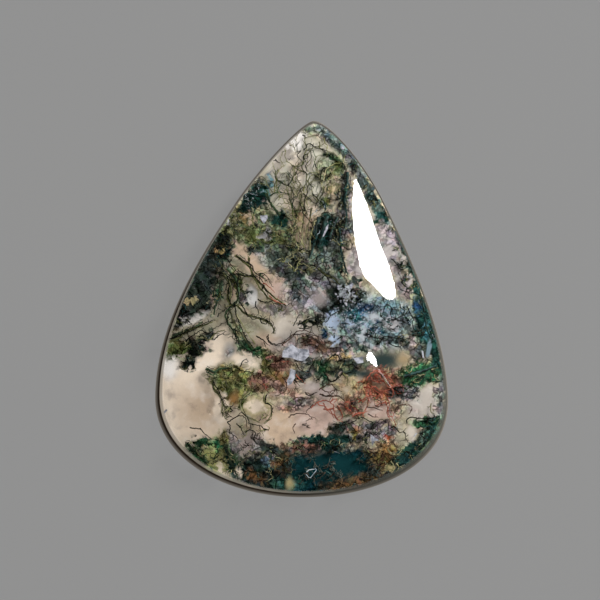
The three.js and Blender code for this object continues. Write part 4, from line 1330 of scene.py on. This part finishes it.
def thread_tree():
    """Nodes that turn bare edges into thin three-sided threads of one material."""
    tree = bpy.data.node_groups.new("moss_threads", "GeometryNodeTree")
    sockets = tree.interface
    sockets.new_socket("Lines", in_out="INPUT", socket_type="NodeSocketGeometry")
    sockets.new_socket("Radius", in_out="INPUT", socket_type="NodeSocketFloat")
    sockets.new_socket("Finish", in_out="INPUT", socket_type="NodeSocketMaterial")
    sockets.new_socket("Threads", in_out="OUTPUT", socket_type="NodeSocketGeometry")
    given = tree.nodes.new("NodeGroupInput")
    result = tree.nodes.new("NodeGroupOutput")
    curve = tree.nodes.new("GeometryNodeMeshToCurve")
    ring = tree.nodes.new("GeometryNodeCurvePrimitiveCircle")
    ring.inputs["Resolution"].default_value = 3
    girth = tree.nodes.new("GeometryNodeInputNamedAttribute")
    girth.inputs["Name"].default_value = "thickness"
    tube = tree.nodes.new("GeometryNodeCurveToMesh")
    tube.inputs["Fill Caps"].default_value = True
    real = tree.nodes.new("GeometryNodeRealizeInstances")
    paint = tree.nodes.new("GeometryNodeSetMaterial")
    for source, socket in (
        (given.outputs["Lines"], curve.inputs["Mesh"]),
        (given.outputs["Radius"], ring.inputs["Radius"]),
        (given.outputs["Finish"], paint.inputs["Material"]),
        (curve.outputs["Curve"], tube.inputs["Curve"]),
        (ring.outputs["Curve"], tube.inputs["Profile Curve"]),
        (girth.outputs["Attribute"], tube.inputs["Scale"]),
        (tube.outputs["Mesh"], real.inputs["Geometry"]),
        (real.outputs["Geometry"], paint.inputs["Geometry"]),
        (paint.outputs["Geometry"], result.inputs["Threads"]),
    ):
        tree.links.new(source, socket)
    return tree


def made_real(piece, tree, inputs):
    """Runs a node tree on a piece with its named inputs, and leaves the result as the piece's plain mesh."""
    modifier = piece.modifiers.new(tree.name, "NODES")
    modifier.node_group = tree
    for item in tree.interface.items_tree:
        if item.in_out == "INPUT" and item.name in inputs:
            modifier[item.identifier] = inputs[item.name]
    graph = bpy.context.evaluated_depsgraph_get()
    mesh = bpy.data.meshes.new_from_object(piece.evaluated_get(graph))
    piece.modifiers.clear()
    piece.data = mesh
    mesh.shade_smooth()


HAZE = ink(150, 148, 136)
MOST_HAZE = 0.55


def thread_finish(name, deep, bright):
    """Threads of one mineral. Their colour wanders along them, and the deep ones fade into the haze."""
    finish = Finish(name)
    share = finish.noise(finish.place(), per_mm=1.3, detail=3.0).between(0.35, 0.65)
    sunk = finish.node("ShaderNodeAttribute", {"attribute_name": "depth"}, out="Fac")
    colour = finish.mix(finish.mix(deep, bright, share), HAZE, sunk * sunk * MOST_HAZE)
    return finish.surface(**{"Base Color": colour, "Roughness": 0.7, "Specular IOR Level": 0.0})


moss_tree = thread_tree()
for name, rows in threads.items():
    piece = thread_lines("moss_" + name, rows)
    finish = thread_finish("threads_" + name, *THREAD_COLOURS[name])
    made_real(piece, moss_tree, {"Radius": THREAD_RADIUS * MM, "Finish": finish})
    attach(piece, "root")


# The flakes, grains and glints
# Thin lavender-white films and grains of clear quartz inside the agate, near the polished skin. Three of
# the flakes are painted highlights: small white glints on the right, drawn as pale slabs.
FLAKES_AND_GLINTS = [
    [(-1.85, -4.04), (-1.03, -3.37), (-0.44, -3.80), (0.63, -3.90), (0.68, -4.43), (0.14, -5.01),
     (-0.44, -4.92), (-1.03, -4.68), (-1.90, -4.63)],
    [(-1.12, -5.70), (-0.64, -5.89), (-0.69, -6.57), (-1.03, -7.16), (-1.37, -7.30), (-1.46, -6.86),
     (-1.22, -6.38)],
    [(4.81, -4.72), (5.69, -4.53), (5.78, -5.12), (5.20, -5.21)],
    [(-3.95, 8.75), (-3.30, 8.85), (-3.25, 8.50), (-3.60, 8.00), (-3.75, 8.20), (-3.95, 8.50)],
    [(1.90, 6.80), (2.30, 7.85), (2.48, 7.95), (2.40, 7.50), (2.02, 6.80)],
    # A painted highlight: a white glint drawn as a flake.
    [(11.25, -3.95), (11.42, -4.05), (11.52, -4.75), (11.35, -4.60)],
    [(6.45, -11.90), (7.50, -12.60), (6.90, -12.50), (6.60, -13.00)],
    [(2.75, -13.35), (3.60, -13.75), (3.10, -13.55)],
    # These two are painted highlights too: white glints drawn as flakes.
    [(12.05, -2.05), (12.20, -2.25), (12.50, -3.00), (12.30, -2.60)],
    [(10.50, -12.10), (10.62, -12.12), (10.90, -11.78), (10.75, -11.80)],
    [(-13.20, -9.85), (-13.10, -10.05), (-12.75, -9.75), (-12.85, -9.60)],
]
# Grains: middle, half-axes, turn, how many, size
GRAINS = [
    ((4.1, 1.3), (1.0, 0.9), 0, 40, 0.11),
    ((5.2, -0.9), (3.0, 1.7), -15, 90, 0.09),
    ((8.2, 0.2), (1.9, 1.1), -30, 36, 0.08),
    ((-1.4, 1.1), (1.1, 0.6), 0, 9, 0.06),
    ((-1.0, 5.0), (1.4, 1.6), 0, 8, 0.05),
    ((3.4, 8.6), (0.7, 3.2), -8, 46, 0.05),
    ((-9.2, 3.4), (2.8, 1.0), 62, 18, 0.05),
    ((-6.0, 8.2), (1.2, 0.9), 45, 12, 0.05),
]
FLAKE_DEPTH = 0.35
FLAKE_THICKNESS = 0.03
GRAIN_COVER = 0.15
DEEPEST_SHARE = 0.6  # of the way from the skin to the cloud
GRAIN_SHAPE = (1, 1, 0.6)
# A grain's corners are numbered left, right, front, behind, below, above.
GRAIN_FACES = [(1, 3, 5), (3, 0, 5), (0, 2, 5), (2, 1, 5), (3, 1, 4), (0, 3, 4), (2, 0, 4), (1, 2, 4)]


def flake_and_glint_mesh(name):
    """One mesh of all flakes and painted glints, as thin slabs, and all grains, as small uneven eight-sided
    stones.
    """
    points, faces = [], []
    for corners in FLAKES_AND_GLINTS:
        outline = np.array(corners)
        count, first = len(outline), len(points)
        top, bottom = height_at(skin, outline), height_at(cloud_top, outline)
        z = top - np.minimum(FLAKE_DEPTH, DEEPEST_SHARE * (top - bottom))
        outline = as_modelled(outline, z)
        points += np.column_stack([outline, z]).tolist()
        points += np.column_stack([outline, z - FLAKE_THICKNESS]).tolist()
        turn = np.cross(outline[1] - outline[0], outline[2] - outline[1])
        top = list(range(first, first + count))
        bottom = [i + count for i in top]
        sides = [(top[i], bottom[i], bottom[(i + 1) % count], top[(i + 1) % count]) for i in range(count)]
        slab = [top, bottom[::-1], *sides]
        faces += slab if turn > 0 else [face[::-1] for face in slab]
    for middle, half, turn, count, size in GRAINS:
        for at in scattered(middle, half, turn, count):
            top, bottom = height_at(skin, at), height_at(cloud_top, at)
            z = top - GRAIN_COVER - rng.uniform(0, DEEPEST_SHARE) * (top - bottom - GRAIN_COVER)
            at = as_modelled(at, z)
            reach = size * rng.uniform(*LENGTH_SPREAD, 3) * GRAIN_SHAPE
            first = len(points)
            for axis in range(3):
                for side in (-1, 1):
                    corner = np.array([*at, z])
                    corner[axis] += side * reach[axis]
                    points.append(tuple(corner))
            faces += [tuple(first + corner for corner in face) for face in GRAIN_FACES]
    mesh = bpy.data.meshes.new(name)
    mesh.from_pydata((np.array(points) * MM).tolist(), [], faces)
    piece = bpy.data.objects.new(name, mesh)
    bpy.context.scene.collection.objects.link(piece)
    return piece


# The film colours serve the flakes and the painted glints alike.
FILM_GREY = ink(118, 121, 130)
FILM_WHITE = ink(190, 191, 200)
flakes = flake_and_glint_mesh("pale_flakes_and_glints")
film = Finish("lavender_film_and_glints")
mottle = film.noise(film.place(), per_mm=2.2, detail=4.0, roughness=0.65).between(0.35, 0.65)
film_colour = film.mix(FILM_GREY, FILM_WHITE, mottle)
film_finish = film.surface(**{"Base Color": film_colour, "Roughness": 0.5, "Specular IOR Level": 0.0})
flakes.data.materials.append(film_finish)
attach(flakes, "root")


# The table
# A plain pale sheet under the stone, far larger than the view. It is lit from below too, so shadows on it
# are faint.
TABLE_SIZE = 2.0  # metres
SHEET_GREY = ink(78, 78, 78)
SHEET_SPECKLE = ink(80, 80, 79)
GLOW_GREY = ink(146, 146, 146)
LIGHT_FROM_BELOW = 0.65
bpy.ops.mesh.primitive_plane_add(size=TABLE_SIZE)
table = bpy.context.object
table.name = "table"
sheet = Finish("pale_table")
speckle = sheet.noise(sheet.place(), per_mm=0.05, detail=2.0)
table.data.materials.append(
    sheet.surface(
        **{
            "Base Color": sheet.mix(SHEET_GREY, SHEET_SPECKLE, speckle),
            "Roughness": 0.9,
            "Specular IOR Level": 0.0,
            "Emission Color": GLOW_GREY,
            "Emission Strength": LIGHT_FROM_BELOW,
        }
    )
)
table.visible_glossy = False


# Camera and lights
# A long lens nearly straight above, leaning a little to the lower left, one softbox to the upper right,
# whose reflection is the white streak on the dome, and an even fill from all round.
VIEW_WIDTH = 57.2
AIM = Vector((-0.21, 0.80, AIM_HEIGHT)) * MM
CAMERA_FAR = 600.0
SENSOR_WIDTH = 36.0
back = Vector((-LEAN, -LEAN, 1.0)).normalized()
camera = bpy.data.objects.new("camera", bpy.data.cameras.new("camera"))
camera.data.sensor_width = SENSOR_WIDTH
camera.data.lens = SENSOR_WIDTH * CAMERA_FAR / VIEW_WIDTH
camera.data.clip_start = 0.01
camera.data.clip_end = 10.0
camera.location = AIM + back * CAMERA_FAR * MM
across = Vector((0, 1, 0)).cross(back).normalized()
camera.rotation_euler = Matrix((across, back.cross(across), back)).transposed().to_euler()
bpy.context.scene.collection.objects.link(camera)
bpy.context.scene.camera = camera


LAMP_FAR = 600.0
# The corners of the softbox as directions from the stone. It is a tall panel, narrow at the top, with a
# bent side.
KEY_CORNERS = [
    (0.728, 0.618, 0.295),
    (0.643, 0.564, 0.519),
    (0.539, 0.485, 0.689),
    (0.487, 0.424, 0.764),
    (0.455, 0.368, 0.811),
    (0.433, 0.330, 0.839),
    (0.448, 0.293, 0.845),
    (0.496, 0.287, 0.820),
    (0.576, 0.262, 0.774),
    (0.622, 0.258, 0.739),
    (0.667, 0.268, 0.695),
    (0.720, 0.294, 0.628),
    (0.749, 0.319, 0.581),
    (0.760, 0.362, 0.539),
    (0.759, 0.422, 0.496),
    (0.740, 0.465, 0.487),
    (0.760, 0.502, 0.413),
    (0.743, 0.570, 0.351),
    (0.741, 0.600, 0.302),
]
# A second, small lamp nearer to overhead, and a faint strip running from it
SMALL_CORNERS = [
    (0.358, 0.019, 0.934),
    (0.366, 0.022, 0.931),
    (0.390, 0.025, 0.920),
    (0.401, 0.019, 0.916),
    (0.414, 0.011, 0.910),
    (0.423, 0.001, 0.906),
    (0.420, -0.016, 0.907),
    (0.402, -0.012, 0.915),
    (0.377, -0.002, 0.926),
    (0.356, 0.001, 0.935),
    (0.354, 0.011, 0.935),
]
STRIP_CORNERS = [
    (0.427, -0.016, 0.904),
    (0.472, -0.041, 0.881),
    (0.515, -0.087, 0.853),
    (0.505, -0.093, 0.858),
    (0.461, -0.049, 0.886),
    (0.418, -0.019, 0.908),
]


def glowing_card(name, directions, radiance, lights, shines):
    """A thin panel out of the camera's sight, with its corners in directions from the stone. It lights the
    inside of the stone, or shines in its polish."""
    corners = [Vector(way).normalized() * LAMP_FAR * MM for way in directions]
    middle = sum(corners, Vector()) / len(corners)
    count = len(corners)
    mesh = bpy.data.meshes.new(name)
    mesh.from_pydata([*corners, middle], [], [(i, (i + 1) % count, count) for i in range(count)])
    glow = Finish(name)
    shine = glow.node("ShaderNodeEmission", None, {"Strength": radiance})
    glow.node("ShaderNodeOutputMaterial", None, {"Surface": shine})
    mesh.materials.append(glow.material)
    card = bpy.data.objects.new(name, mesh)
    card.visible_camera = False
    card.visible_shadow = False
    card.visible_diffuse = lights
    card.visible_glossy = shines
    bpy.context.scene.collection.objects.link(card)


KEY_LIGHT = 24.0
KEY_SHINE = 60.0
SMALL_SHINE = 45.0
STRIP_SHINE = 3.6
FILL_LIGHT = 0.75
glowing_card("key_panel", KEY_CORNERS, KEY_LIGHT, lights=True, shines=False)
glowing_card("key_shine", KEY_CORNERS, KEY_SHINE, lights=False, shines=True)
glowing_card("small_lamp", SMALL_CORNERS, SMALL_SHINE, lights=False, shines=True)
glowing_card("faint_strip", STRIP_CORNERS, STRIP_SHINE, lights=False, shines=True)
world = bpy.data.worlds.new("studio")
bpy.context.scene.world = world
world.use_nodes = True
fill = world.node_tree.nodes["Background"].inputs
fill["Color"].default_value = (1.0, 1.0, 1.0, 1.0)
fill["Strength"].default_value = FILL_LIGHT
world.cycles_visibility.glossy = False
bpy.context.scene.view_settings.view_transform = "Standard"
bpy.context.scene.cycles.caustics_refractive = False
bpy.context.scene.cycles.caustics_reflective = False
